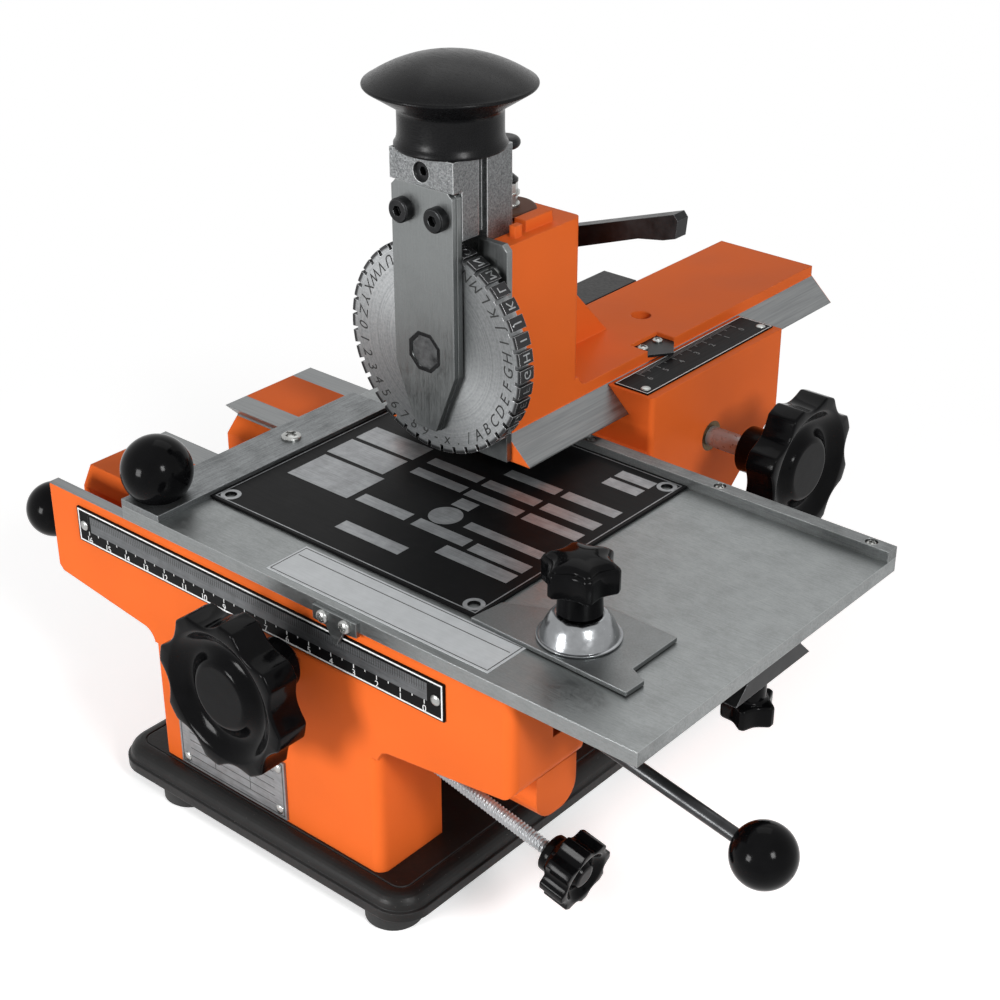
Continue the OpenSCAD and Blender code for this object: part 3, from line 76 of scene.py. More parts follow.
def length_property(name, description, millimetres):
    return bpy.props.FloatProperty(name=name, description=description, default=millimetres * MM, min=0.00001,
                                   unit="LENGTH", subtype="DISTANCE")


def angle_property(name, description, degrees):
    return bpy.props.FloatProperty(name=name, description=description, default=math.radians(degrees),
                                   unit="ROTATION", subtype="ANGLE")


def power_property(name, description, watts):
    return bpy.props.FloatProperty(name=name, description=description, default=watts, min=0, unit="POWER")


def strength_property(name, description, strength):
    return bpy.props.FloatProperty(name=name, description=description, default=strength, min=0)


class PaintColours(bpy.types.PropertyGroup):
    orange: colour_property("Orange enamel", "Enamel on the castings", "#E76A2C")
    black: colour_property("Black enamel", "Stoved enamel on the base plate and the levers", "#121212")
    phenolic: colour_property("Phenolic", "Moulded knobs and handwheels", "#070708")
    steel: colour_property("Ground steel", "Table, plates and slides", "#8D9090")
    dark_steel: colour_property("Rolled steel", "Fences and slides", "#808384")
    print_white: colour_property("White print", "Lines and numbers of the scales", "#E9EAEA")
    plate_silver: colour_property("Silver foil", "Bare fields of the plates", "#9FA1A3")


class KnobSizes(bpy.types.PropertyGroup):
    wheel_radius: length_property("Handwheel radius", "Over the lobes of both handwheels", 28)
    wheel_hollow: length_property("Hollow depth", "Depth of the hollows between a handwheel's lobes", 3.3)
    wheel_lobes: bpy.props.IntProperty(name="Handwheel lobes", description="Lobes round a handwheel",
                                       default=8, min=3)
    wheel_turn: angle_property("Front handwheel turn", "Angle of the front handwheel's first lobe", 33)
    arm_wheel_turn: angle_property("Arm handwheel turn", "Angle of the arm handwheel's first lobe", 22)
    dish_radius: length_property("Dish radius", "Outer radius of the ring dish in a handwheel's face", 23.0)
    disc_radius: length_property("Disc radius", "Radius of the flat disc in the middle of the dish", 11.4)
    dish_depth: length_property("Dish depth", "Depth of the ring dish", 4.2)
    screw_pitch: length_property("Thread pitch", "Pitch of the thread on the pitch screw", 1.25)
    thread_depth: length_property("Thread depth", "Depth of that thread", 0.65)


class ScaleSizes(bpy.types.PropertyGroup):
    line_width: length_property("Line width", "Width of an engraved scale line", 0.3)
    number_height: length_property("Number height", "Height of the numbers on the front scale", 2.4)
    print_thickness: length_property("Print thickness", "How far print stands off its plate", 0.06)
    type_height: length_property("Type height", "Height of the letters on the type wheel's face", 4.1)
    type_radius: length_property("Type circle", "Radius of the circle of letters on the wheel's face", 33.6)


class StudioSettings(bpy.types.PropertyGroup):
    floor: colour_property("Floor", "Plain pale floor", "#F6F6F6")
    key_power: power_property("Key light", "Power of the low soft lamp in front", 10.8)
    fill_power: power_property("Fill light", "Power of the low soft lamp at the right", 11.0)
    top_power: power_property("Top light", "Power of the soft lamp overhead", 1.5)
    room_light: strength_property("Room light", "Strength of the room's even light", 0.24)
    floor_white: strength_property("Floor white", "White that the floor adds where it is seen", 0.5)


def sizes_of(group):
    """The group's lengths in millimetres, and its other values as they are."""
    values = {}
    for key, prop in group.bl_rna.properties.items():
        if key in ("rna_type", "name"):
            continue
        value = getattr(group, key)
        values[key] = value / MM if getattr(prop, "subtype", "") == "DISTANCE" else value
    return values


def add_piece(name, points, faces, finish, body, slot, crease=35.0, hides=()):
    """Makes a piece from points in machine millimetres and lists of corners, in a finish by its short name,
    smooth but for edges that turn by more than the crease, in degrees."""
    mesh = bpy.data.meshes.new(name)
    mesh.from_pydata(((np.asarray(points) + SCALE_ZERO) * MM).tolist(), [], faces)
    mesh.materials.append(finishes()[finish])
    mesh.shade_smooth()
    mesh.set_sharp_from_angle(angle=math.radians(crease))
    mesh.validate()
    piece = bpy.data.objects.new(name, mesh)
    bpy.context.scene.collection.objects.link(piece)
    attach(piece, body)
    if hides:
        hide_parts(*hides)
    return piece


def loft(rings):
    """Closed skin over a stack of rings: four-sided faces join each ring to the next one, and a fan of
    triangles over the middle closes the first and the last ring."""
    count, sides, _ = rings.shape
    points = np.concatenate([rings.reshape(-1, 3), rings[:1].mean(1), rings[-1:].mean(1)])
    j = np.arange(sides)
    k = (j + 1) % sides
    low = (np.arange(count - 1) * sides)[:, None]
    quads = np.stack([low + j, low + k, low + k + sides, low + j + sides], -1).reshape(-1, 4)
    first = np.stack([np.full(sides, count * sides), k, j], -1)
    last = np.stack([np.full(sides, count * sides + 1), (count - 1) * sides + j, (count - 1) * sides + k], -1)
    return points, quads.tolist() + first.tolist() + last.tolist()


def lobed_radius(angle, lobes, depth, hollow_share):
    """How far the rim lies inside the lobes at an angle. The lobes are flat on top, and the hollow between
    two of them is a parabola: depth times one minus the square of the way from its middle to its edge."""
    step = 2 * np.pi / lobes
    way = (np.mod(angle, step) - step / 2) / (step / 2 * hollow_share)
    return -depth * np.clip(1 - way ** 2, 0, None)


def turned(profile, angle, offset=None):
    """Rings of a turned piece about its own Z. A profile row is radius, share of the rim's hollows, height;
    the radius at an angle is the row's radius plus that share of the hollows' offset at the angle."""
    profile = np.asarray(profile, float)
    offset = np.zeros_like(angle) if offset is None else offset
    radius = profile[:, 0, None] + profile[:, 1, None] * offset
    height = np.broadcast_to(profile[:, 2, None], radius.shape)
    return np.stack([radius * np.cos(angle), radius * np.sin(angle), height], -1)


def arc_rows(radius_at, height_at, bend, start, end, steps, share=0.0):
    """Profile rows on a circle of radius bend about a point, from one angle to the other."""
    a = np.radians(np.linspace(start, end, steps))
    return np.stack([radius_at + bend * np.cos(a), np.full(steps, share), height_at + bend * np.sin(a)], -1)


def carried(rings, at, z_axis=(0, 0, 1), x_axis=(1, 0, 0)):
    """Local rings put at a place in machine millimetres, with their own Z along z_axis and X along x_axis."""
    z = np.asarray(z_axis, float) / np.linalg.norm(z_axis)
    x = np.asarray(x_axis, float) / np.linalg.norm(x_axis)
    return rings @ np.stack([x, np.cross(z, x), z]) + np.asarray(at, float)


def machine_box(node):
    """A CAD node's lowest corner, middle and highest corner in machine millimetres."""
    low, high = (np.array(corner) / MM - SCALE_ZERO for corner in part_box(node))
    return low, (low + high) / 2, high


def circle(sides):
    """Angles of the corners round a closed ring."""
    return np.linspace(0, 2 * np.pi, sides, endpoint=False)


def slabs(low, high):
    """Points and faces of many thin closed slabs, from arrays of their low and high corners."""
    low, high = np.asarray(low, float), np.asarray(high, float)
    pick = np.array([[0, 0, 0], [1, 0, 0], [1, 1, 0], [0, 1, 0], [0, 0, 1], [1, 0, 1], [1, 1, 1], [0, 1, 1]])
    points = low[:, None, :] + pick[None] * (high - low)[:, None, :]
    corners = np.array([[0, 3, 2, 1], [4, 5, 6, 7], [0, 1, 5, 4], [1, 2, 6, 5], [2, 3, 7, 6], [3, 0, 4, 7]])
    faces = corners[None] + 8 * np.arange(len(low))[:, None, None]
    return points.reshape(-1, 3), faces.reshape(-1, 4).tolist()


def ring_slab(outer, inner, bottom, top, sides=40):
    """Points and faces of a flat ring lying level: a rectangle's section carried round a circle."""
    a = circle(sides)
    rows = [(outer, bottom), (outer, top), (inner, top), (inner, bottom)]
    points = np.concatenate([np.stack([r * np.cos(a), r * np.sin(a), np.full(sides, z)], -1)
                             for r, z in rows])
    j, k = np.arange(sides), (np.arange(sides) + 1) % sides
    quads = [np.stack([i * sides + j, i * sides + k, (i + 1) % 4 * sides + k, (i + 1) % 4 * sides + j], -1)
             for i in range(4)]
    return points, np.concatenate(quads).tolist()


def joined(parts):
    """Several sets of points and faces as one."""
    points, faces, count = [], [], 0
    for part_points, part_faces in parts:
        points.append(np.asarray(part_points, float))
        faces += [[corner + count for corner in face] for face in part_faces]
        count += len(part_points)
    return np.concatenate(points), faces


def characters(text, height, slant, thickness):
    """Mesh points and faces of each different character, in millimetres, centred on its middle. The font's
    capitals are as high as its size over 1.4."""
    shapes = {}
    for sign in sorted(set(text)):
        curve = bpy.data.curves.new("character", "FONT")
        curve.body, curve.align_x, curve.align_y = sign, "CENTER", "CENTER"
        curve.size, curve.shear, curve.extrude = height * 1.4, slant, thickness / 2
        curve.resolution_u = 3
        holder = bpy.data.objects.new("character", curve)
        mesh = bpy.data.meshes.new_from_object(holder)
        points = np.empty(len(mesh.vertices) * 3)
        mesh.vertices.foreach_get("co", points)
        shapes[sign] = points.reshape(-1, 3), [list(p.vertices) for p in mesh.polygons]
        bpy.data.meshes.remove(mesh)
        bpy.data.objects.remove(holder)
        bpy.data.curves.remove(curve)
    return shapes


def set_in_type(shapes, items):
    """Characters put in place. An item is text, its middle, right and up directions, advance between
    characters, and whether it is mirrored; the height of the print points along right x up."""
    parts = []
    for text, middle, right, up, advance, mirrored in items:
        right, up = np.asarray(right, float), np.asarray(up, float)
        out = np.cross(right, up) * (-1 if mirrored else 1)
        for i, sign in enumerate(text):
            points, faces = shapes[sign]
            start = np.asarray(middle, float) + right * (i - (len(text) - 1) / 2) * advance
            placed = start + points @ np.stack([right, up, out])
            parts.append((placed, [f[::-1] for f in faces] if mirrored else faces))
    return joined(parts)


class ShaderTree:
    """A tree of shader nodes, with the steps that the finishes are made of. Places are on the object, and
    lengths are in millimetres. A value may be a number, a colour or another node's socket."""

    def __init__(self, tree):
        self.tree = tree
        tree.nodes.clear()

    def add(self, kind, inputs=None, output=0, **settings):
        """Adds one node with its settings and inputs, and gives one of its outputs."""
        made = self.tree.nodes.new("ShaderNode" + kind)
        for key, value in settings.items():
            setattr(made, key, value)
        for key, value in (inputs or {}).items():
            if isinstance(value, bpy.types.NodeSocket):
                self.tree.links.new(value, made.inputs[key])
            else:
                made.inputs[key].default_value = value
        return made.outputs[output] if made.outputs else None

    def maths(self, operation, a, b):
        """The result of one step of arithmetic on two values."""
        return self.add("Math", {0: a, 1: b}, operation=operation)

    def vector(self, operation, a, b=(0.0, 0.0, 0.0), output=0):
        """The result of one step of arithmetic on two vectors."""
        return self.add("VectorMath", {0: a, 1: b}, output, operation=operation)

    def mix(self, share, a, b):
        """Colour between a and b by a share."""
        a, b = (c if isinstance(c, bpy.types.NodeSocket) else (*c, 1.0) for c in (a, b))
        return self.add("Mix", {0: share, 6: a, 7: b}, 2, data_type="RGBA")

    def spread(self, value, low, high, to_low=0.0, to_high=1.0):
        """A value's range from low to high stretched to another range, and held there outside it."""
        return self.add("MapRange", {"Value": value, "From Min": low, "From Max": high,
                                     "To Min": to_low, "To Max": to_high})

    def seen_ray(self):
        """1 for a ray from the camera, off metal or through glass, and 0 for one that carries light."""
        path = self.add("LightPath").node.outputs
        seen = self.maths("MAXIMUM", path["Is Camera Ray"], path["Is Glossy Ray"])
        return self.maths("MAXIMUM", seen, path["Is Transmission Ray"])


class Finish(ShaderTree):
    """A material with one shader, and the noises and edges that finishes share."""

    def __init__(self, name):
        self.material = bpy.data.materials.new(name)
        self.material.use_nodes = True
        super().__init__(self.material.node_tree)
        shader = self.add("BsdfPrincipled")
        self.shader = shader.node
        self.add("OutputMaterial", {"Surface": shader})
        self.place = self.add("TexCoord", output="Object")

    def done(self, **values):
        """Sets the shader's sockets by name with _ for a space, and gives the material."""
        for key, value in values.items():
            socket = self.shader.inputs[key.replace("_", " ")]
            if isinstance(value, bpy.types.NodeSocket):
                self.tree.links.new(value, socket)
            else:
                socket.default_value = (*value, 1.0) if hasattr(value, "__len__") else value
        return self.material

    def clouds(self, size, detail=3.0, roughness=0.5, place=None):
        """Even noise whose blots are about a size across."""
        return self.add("TexNoise", {"Vector": place or self.place, "Scale": 1 / (size * MM),
                                     "Detail": detail, "Roughness": roughness})

    def streaks(self, length, width, along=0, detail=3.0, place=None):
        """Noise drawn out along one axis, as grinding leaves it; length and width are those of a streak."""
        scale = [1 / width] * 3
        scale[along] = 1 / length
        drawn = self.add("Mapping", {"Vector": place or self.place, "Scale": scale})
        return self.clouds(1, detail, 0.6, drawn)

    def rounded(self, radius):
        """The surface's direction as it would be with its edges rounded by a radius."""
        return self.add("Bevel", {"Radius": radius * MM}, samples=4)

    def edges(self, rounded, most=1.0):
        """How much a point lies on an edge, up to a most: it grows as the rounded direction turns away
        from the flat one."""
        flat = self.add("NewGeometry", output="Normal")
        return self.spread(self.vector("DOT_PRODUCT", rounded, flat, "Value"), 0.985, 0.86, 0.0, most)

    def relief(self, height, normal, strength, depth):
        """The surface's direction over a relief of a depth, starting from a direction or from none."""
        inputs = {"Height": height, "Strength": strength, "Distance": depth * MM}
        return self.add("Bump", {**inputs, "Normal": normal} if normal else inputs)

    def inside(self, low, high):
        """1 inside a box given in machine millimetres, 0 outside; None leaves a side open."""
        axes = self.add("SeparateXYZ", {0: self.place}).node.outputs
        share = 1.0
        for axis in range(3):
            for limit, operation in ((low[axis], "GREATER_THAN"), (high[axis], "LESS_THAN")):
                if limit is not None:
                    test = self.maths(operation, axes[axis], (limit + SCALE_ZERO[axis]) * MM)
                    share = self.maths("MULTIPLY", share, test)
        return share


def shade(colour, share, plus=0.0):
    """A colour made darker or lighter: each part times a share, plus an amount, at most 1."""
    return tuple(min(1, c * share + plus) for c in colour)


def enamelled_iron(name, colour, machined=(), grind_along=0):
    """Cast iron under stoved enamel: a satin skin that softens the cast corners, with a shallow orange
    peel 1.5 mm wide, edges painted paler, partly as thin worn paint and partly as a painted highlight, and
    bare ground iron where the casting was machined."""
    f = Finish(name)
    rounded = f.rounded(0.9)
    drift = f.clouds(55, 2.0)
    paint = f.mix(f.spread(drift, 0.3, 0.7), shade(colour, 0.86), colour)
    # Edges painted paler: partly thin worn paint, partly a painted highlight
    paint = f.mix(f.edges(rounded, 0.35), paint, shade(colour, 1.25, 0.04))
    rough = f.spread(drift, 0.3, 0.7, 0.36, 0.46)
    peel, sag = f.clouds(1.6, 1.0), f.clouds(14, 2.0)
    height = f.maths("ADD", f.maths("MULTIPLY", peel, 0.35), sag)
    bare = 0.0
    for low, high in machined:
        bare = f.maths("MAXIMUM", bare, f.inside(low, high))
    if machined:
        grind = f.spread(f.streaks(30, 0.7, grind_along), 0.3, 0.7)
        paint = f.mix(bare, paint, f.mix(grind, linear("#737576"), linear("#8A8C8C")))
        rough = f.add("Mix", {0: bare, 2: rough, 3: f.spread(grind, 0, 1, 0.32, 0.5)}, data_type="FLOAT")
    return f.done(Base_Color=paint, Metallic=bare, Roughness=rough, Specular_IOR_Level=0.04,
                  Normal=f.relief(height, rounded, 0.12, 0.6))


def ground_steel(name, colour, along=0, low_rough=0.3, high_rough=0.48, dark=0.8, bevel=0.5, stains=0.0,
                 length=9):
    """Steel ground on a belt and zinc plated: short straight streaks along the grind, a mottle of 6 to 20 mm
    where the plating clouds, a speckle 0.7 mm wide, fine handling scratches, and a painted highlight
    along each edge."""
    f = Finish(name)
    rounded = f.rounded(bevel)
    grind = f.streaks(length, 0.6, along)
    speckle = f.spread(f.clouds(0.7, 2.0, 0.7), 0.3, 0.7, -0.13, 0.13)
    both = f.maths("ADD", grind, f.maths("ADD", f.clouds(9, 4.0, 0.62), speckle))
    tone = f.mix(f.spread(both, 0.72, 1.28), shade(colour, dark), colour)
    stain = f.spread(f.clouds(26, 5.0, 0.7), 0.55, 0.75, 0.0, stains)
    tone = f.mix(stain, tone, shade(colour, 0.5))
    aslant = f.add("Mapping", {"Vector": f.place, "Rotation": (0.0, 0.0, 0.5)})
    scratch = f.streaks(18, 0.5, 1 - along if along < 2 else 0, 1.0, aslant)
    tone = f.mix(f.spread(scratch, 0.74, 0.8, 0.0, 0.5), tone, shade(colour, 1.3))
    # A painted highlight along every edge
    tone = f.mix(f.edges(rounded, 0.8), tone, shade(colour, 1.25, 0.08))
    return f.done(Base_Color=tone, Metallic=1.0, Normal=f.relief(grind, rounded, 0.18, 0.3),
                  Roughness=f.spread(both, 0.72, 1.28, high_rough, low_rough))


def sand_cast_steel(name, colour):
    """Cast steel blasted with grit: a dark grey speckle 0.4 to 0.8 mm wide, dull, with a painted highlight on
    its edges.
    """
    f = Finish(name)
    rounded = f.rounded(0.5)
    grit = f.clouds(0.7, 4.0, 0.75)
    tone = f.mix(f.spread(grit, 0.36, 0.64), shade(colour, 0.42), colour)
    # Edges painted near white as a highlight
    tone = f.mix(f.edges(rounded), tone, linear("#E2E4E4"))
    return f.done(Base_Color=tone, Metallic=1.0, Normal=f.relief(grit, rounded, 0.5, 0.4),
                  Roughness=f.spread(grit, 0.35, 0.65, 0.5, 0.36))


def bright_steel(name, hex_colour, roughness=0.3, bevel=0.25, metallic=1.0):
    """Turned and polished steel: near mirror, faintly clouded over 2.5 mm; where it is less metallic, a film
    of oil greys it."""
    f = Finish(name)
    cloud = f.clouds(2.5, 4.0, 0.6)
    tone = f.mix(f.spread(cloud, 0.35, 0.65), shade(linear(hex_colour), 0.9), linear(hex_colour))
    return f.done(Base_Color=tone, Metallic=metallic, Normal=f.rounded(bevel),
                  Roughness=f.spread(cloud, 0.3, 0.7, roughness * 0.7, roughness * 1.4))


def oxide_steel(name, hex_colour="#1C1D1E", roughness=0.34):
    """Steel blued to black oxide: nearly black with a soft sheen, paler where the oil dried, and with a
    painted highlight on its edges."""
    f = Finish(name)
    rounded = f.rounded(0.3)
    blots = f.clouds(5, 4.0, 0.6)
    tone = f.mix(f.spread(blots, 0.35, 0.7), linear(hex_colour), linear("#2B2B2C"))
    # A painted highlight on the edges
    tone = f.mix(f.edges(rounded, 0.35), tone, linear("#8A8C8E"))
    return f.done(Base_Color=tone, Metallic=0.8, Normal=rounded,
                  Roughness=f.spread(blots, 0.3, 0.7, roughness, roughness + 0.14))


def moulded_phenolic(name, colour, roughness=0.1, specular=0.06):
    """Moulded phenolic resin: deep black and glassy, with a slight ripple from the mould 6 mm wide and
    hair scratches that only show in the highlights."""
    f = Finish(name)
    ripple = f.clouds(6, 2.0)
    hair = f.streaks(9, 0.35, 0, 2.0)
    tone = f.mix(f.spread(ripple, 0.35, 0.65), colour, shade(colour, 1.3, 0.0005))
    return f.done(Base_Color=tone, Specular_IOR_Level=specular,
                  Normal=f.relief(ripple, f.rounded(0.4), 0.06, 0.8),
                  Roughness=f.spread(hair, 0.45, 0.72, roughness, roughness * 1.9))


def stoved_black(name, colour):
    """Black stoved enamel on sheet iron: satin, with grey dust specks under a millimetre, and edges painted
    paler, partly worn and partly a painted highlight.
    """
    f = Finish(name)
    rounded = f.rounded(0.6)
    specks = f.spread(f.clouds(0.9, 2.0, 0.7), 0.71, 0.78, 0.0, 0.5)
    dust = f.spread(f.clouds(30, 3.0), 0.4, 0.75, 0.0, 0.12)
    tone = f.mix(specks, colour, linear("#8C8A88"))
    tone = f.mix(dust, tone, linear("#4A4846"))
    # Edges painted paler: partly wear, partly a painted highlight
    tone = f.mix(f.edges(rounded, 0.15), tone, linear("#77787A"))
    peel = f.clouds(1.4, 2.0)
    return f.done(Base_Color=tone, Normal=f.relief(peel, rounded, 0.12, 0.4), Specular_IOR_Level=0.2,
                  Roughness=f.spread(peel, 0.3, 0.7, 0.34, 0.46))


def foot_rubber(name):
    """Moulded black rubber: dull, with a dusty bloom and a fine pebble 0.8 mm wide."""
    f = Finish(name)
    bloom = f.spread(f.clouds(12, 4.0), 0.4, 0.7, 0.0, 0.5)
    tone = f.mix(bloom, linear("#131313"), linear("#2B2A29"))
    return f.done(Base_Color=tone, Roughness=0.72, Normal=f.relief(f.clouds(0.8, 2.0), None, 0.25, 0.4))


def anodised_plate(name, hex_colour, grain_along=0, roughness=0.38):
    """Anodised aluminium sheet 0.5 to 1 mm thick: an even dyed colour over a rolling grain 0.5 mm wide, with
    small rubbed marks where a hand has wiped it. The dye hides the metal's colour."""
    f = Finish(name)
    colour = linear(hex_colour)
    grain = f.streaks(22, 0.5, grain_along)
    wipe = f.spread(f.clouds(8, 5.0, 0.65), 0.5, 0.72, 0.0, 0.35)
    tone = f.mix(f.spread(grain, 0.3, 0.7), shade(colour, 0.8), colour)
    tone = f.mix(wipe, tone, shade(colour, 1.3, 0.006))
    return f.done(Base_Color=tone, Normal=f.rounded(0.2), Specular_IOR_Level=0.06,
                  Roughness=f.spread(grain, 0.3, 0.7, roughness, roughness + 0.14))


def screen_print(name, colour):
    """Screen-printed or filled lines: flat ink with pinholes under half a millimetre and a slight fade."""
    f = Finish(name)
    pinholes = f.spread(f.clouds(0.5, 2.0), 0.3, 0.5)
    fade = f.spread(f.clouds(20, 3.0), 0.35, 0.7, 0.0, 0.3)
    tone = f.mix(pinholes, shade(colour, 0.72), colour)
    return f.done(Base_Color=f.mix(fade, tone, shade(colour, 0.8)), Roughness=0.5)


def silver_foil(name, colour, metallic=0.75, dark=0.62):
    """Brushed aluminium foil left bare on a printed plate: fine streaks and a soft change of brightness."""
    f = Finish(name)
    brush = f.streaks(12, 0.5)
    both = f.maths("ADD", brush, f.clouds(5, 4.0, 0.65))
    tone = f.mix(f.spread(both, 0.75, 1.25), shade(colour, dark), colour)
    return f.done(Base_Color=tone, Metallic=metallic, Roughness=f.spread(brush, 0.3, 0.7, 0.34, 0.5))


def type_wheel_steel(name, centre, radius):
    """Hardened tool steel ground flat on both faces: a fine scatter of grinding rings about the axle, a
    fan of light across the rings, a darker band at the rim where the type was cut, partly the rim's own
    dark tone and partly painted shade between the raised type, and a painted highlight on the edges."""
    f = Finish(name)
    axle = tuple((centre + SCALE_ZERO) * MM)
    across = f.vector("MULTIPLY", f.vector("SUBTRACT", f.place, axle), (1.0, 0.0, 1.0))
    away = f.vector("LENGTH", across, output="Value")
    rings = f.clouds(0.9, place=f.add("CombineXYZ", {0: away}))
    both = f.maths("ADD", rings, f.clouds(1.2, 4.0, 0.7))
    tone = f.mix(f.spread(both, 0.7, 1.3), linear("#808283"), linear("#A6A8A9"))
    # Darker rim band: partly the rim's own dark tone, partly painted shade between the type
    rim = f.spread(away, (radius - 1.6) * MM, (radius - 0.9) * MM)
    tone = f.mix(rim, tone, linear("#3B3B3C"))
    rounded = f.rounded(0.25)
    # A painted highlight on the edges
    tone = f.mix(f.edges(rounded), tone, linear("#CFD0D1"))
    round_it = f.vector("NORMALIZE", f.vector("CROSS_PRODUCT", across, (0.0, 1.0, 0.0)))
    return f.done(Base_Color=tone, Metallic=1.0, Normal=f.relief(both, rounded, 0.1, 0.2), Anisotropic=0.5,
                  Tangent=round_it, Roughness=f.spread(both, 0.7, 1.3, 0.5, 0.42))


def sintered_bronze(name):
    """Oil-soaked sintered bronze: warm brown metal with open pores under half a millimetre."""
    f = Finish(name)
    pores = f.clouds(0.5, 3.0)
    tone = f.mix(f.spread(pores, 0.35, 0.6), linear("#35281A"), linear("#66502F"))
    return f.done(Base_Color=tone, Metallic=1.0, Roughness=f.spread(pores, 0.3, 0.7, 0.5, 0.34))


MADE_FINISHES = {}


def finishes():
    """Every material of the machine by a short name, made once."""
    if MADE_FINISHES:
        return MADE_FINISHES
    colours = bpy.context.scene.machine_colours
    orange, black, phenolic, steel, rolled, white, silver = (
        tuple(getattr(colours, key)) for key in PaintColours.__annotations__)
    axle, rim = machine_box("type_wheel")[1], 38.7
    # The machined faces are boxes round them, as low and high corners in machine millimetres
    MADE_FINISHES.update({
        "front": enamelled_iron("orange_enamel_front", orange, machined=[
            ((None, None, 109.9), (None, 4.1, None)), ((None, 43, 97.8), (None, 60, None))]),
        "rear": enamelled_iron("orange_enamel_rear", orange, machined=[
            ((-200, 83.9, 103.5), (60, 95, 110.1)), ((-200, 120, 109.8), (60, 130, 110.1)),
            ((-117, 157.3, 122.3), (-33.6, 241.7, 131.85))]),
        "head": enamelled_iron("orange_enamel_arm", orange, machined=[
            ((None, 100.2, 122.8), (None, 297.1, 132.3))], grind_along=1),
        # The stop boss: the casting enamel darkened to brown, partly as painted shade
        "boss": enamelled_iron("brown_boss_paint", linear("#5A3A2C")),
        "black": stoved_black("black_stoved_enamel", black),
        "rubber": foot_rubber("foot_rubber"),
        "phenolic": moulded_phenolic("black_phenolic", phenolic),
        "press": moulded_phenolic("satin_phenolic", linear("#0D0D0E"), roughness=0.24, specular=0.12),
        "table": ground_steel("zinc_plated_table", steel, length=5, stains=0.25),
        "plate": ground_steel("zinc_plated_plate", shade(steel, 0.78), along=2, low_rough=0.28,
                              high_rough=0.44, stains=0.2),
        "front_plate": ground_steel("ground_guard_plate", shade(steel, 0.85), along=2, stains=0.3),
        "fence": ground_steel("rolled_fence_steel", rolled, along=1, low_rough=0.36, high_rough=0.55,
                              dark=0.6),
        "back_fence": ground_steel("rolled_back_fence_steel", shade(steel, 0.7), low_rough=0.34,
                                   high_rough=0.5, dark=0.6),
        "slide": ground_steel("ground_slide_steel", rolled),
        "pointer": ground_steel("pointer_steel", shade(steel, 0.75), bevel=0.3),
        "ram": sand_cast_steel("grit_blasted_ram", linear("#8A8C8D")),
        "bright": bright_steel("turned_bright_steel", "#A2A4A6", metallic=0.55),
        "polished": bright_steel("polished_washer_steel", "#909294", 0.2, 0.15),
        "zinc_screw": bright_steel("zinc_plated_screw", "#A9AAA8", bevel=0.2),
        "type": bright_steel("bright_type_faces", "#A6A8A9", bevel=0.1),
        "oxide": oxide_steel("black_oxide"),
        "pin": oxide_steel("dial_pin_steel", "#7A7C7D", 0.3),
        "rod": oxide_steel("blued_rod", "#3A3B3C", 0.24),
        "scale": anodised_plate("black_anodised_scale", "#0C0C0D"),
        "arm_scale": anodised_plate("black_anodised_arm_scale", "#0B0B0C", grain_along=1),
        "nameplate": anodised_plate("black_anodised_nameplate", "#0C0C0D", roughness=0.3),
        "spec": silver_foil("etched_silver_plate", shade(silver, 0.85)),
        "label": silver_foil("silver_label", linear("#C9CCCE"), metallic=0.0, dark=0.88),
        "band": silver_foil("brushed_scale_band", linear("#6D6F71")),
        "foil": silver_foil("bare_silver_field", silver),
        "white": screen_print("white_scale_print", white),
        "black_ink": screen_print("black_filled_print", linear("#161616")),
        "grey_ink": screen_print("grey_scale_print", linear("#6A6C6C")),
        "wheel": type_wheel_steel("ground_type_wheel", axle, rim),
        "bronze": sintered_bronze("sintered_bronze"),
    })
    return MADE_FINISHES


NODE_FINISH = {
    "rubber_feet": "rubber", "base_plate": "black", "casting_bolts": "zinc_screw", "front_casting": "front",
    "rear_casting": "rear", "x_scale": "scale", "y_scale": "arm_scale", "spec_plate": "spec",
    "plate_rivets": "zinc_screw", "shaft_bushes": "bronze", "block_cover": "black", "lever_pin": "bright",
    "work_table": "table", "table_slider": "oxide", "table_rack": "slide", "left_fence": "fence",
    "back_fence": "back_fence", "table_screws": "zinc_screw", "x_pointer": "pointer", "label_plate": "label",
    "sample_plate": "nameplate", "handle_ball": "phenolic", "handle_stud": "bright", "clamp_stud": "bright",
    "clamp_plate": "plate", "dome_washer": "polished", "clamp_knob": "phenolic", "under_knob": "phenolic",
    "x_handwheel": "phenolic", "x_shaft": "bright", "x_pinion": "slide", "head_casting": "head",
    "guide_plate": "plate", "y_rack": "slide", "y_pointer": "oxide", "arm_screws": "zinc_screw",
    "stop_boss": "boss", "stop_nuts": "zinc_screw", "return_spring": "bright", "y_handwheel": "phenolic",
    "y_shaft": "bright", "y_pinion": "slide", "ram_block": "ram", "press_knob": "press",
    "front_plate": "front_plate", "inner_plate": "plate", "plate_screws": "oxide", "set_screw": "oxide",
    "dial_pin": "pin", "type_wheel": "wheel", "depth_lever": "oxide", "stop_screw": "oxide",
    "advance_rod": "rod", "advance_ball": "phenolic", "release_rod": "bright", "release_ball": "phenolic",
    "pitch_screw": "bright", "pitch_knob": "phenolic",
}


class MACHINE_OT_finishes(bpy.types.Operator):
    """Give every solid of the frame its paint, plating or grind"""
    bl_idname = "machine.finishes"
    bl_label = "Castings, plates and slides"

    def execute(self, context):
        for node, solid in NODES.items():
            solid.data.materials.clear()
            solid.data.materials.append(finishes()[NODE_FINISH[node]])
        return {"FINISHED"}


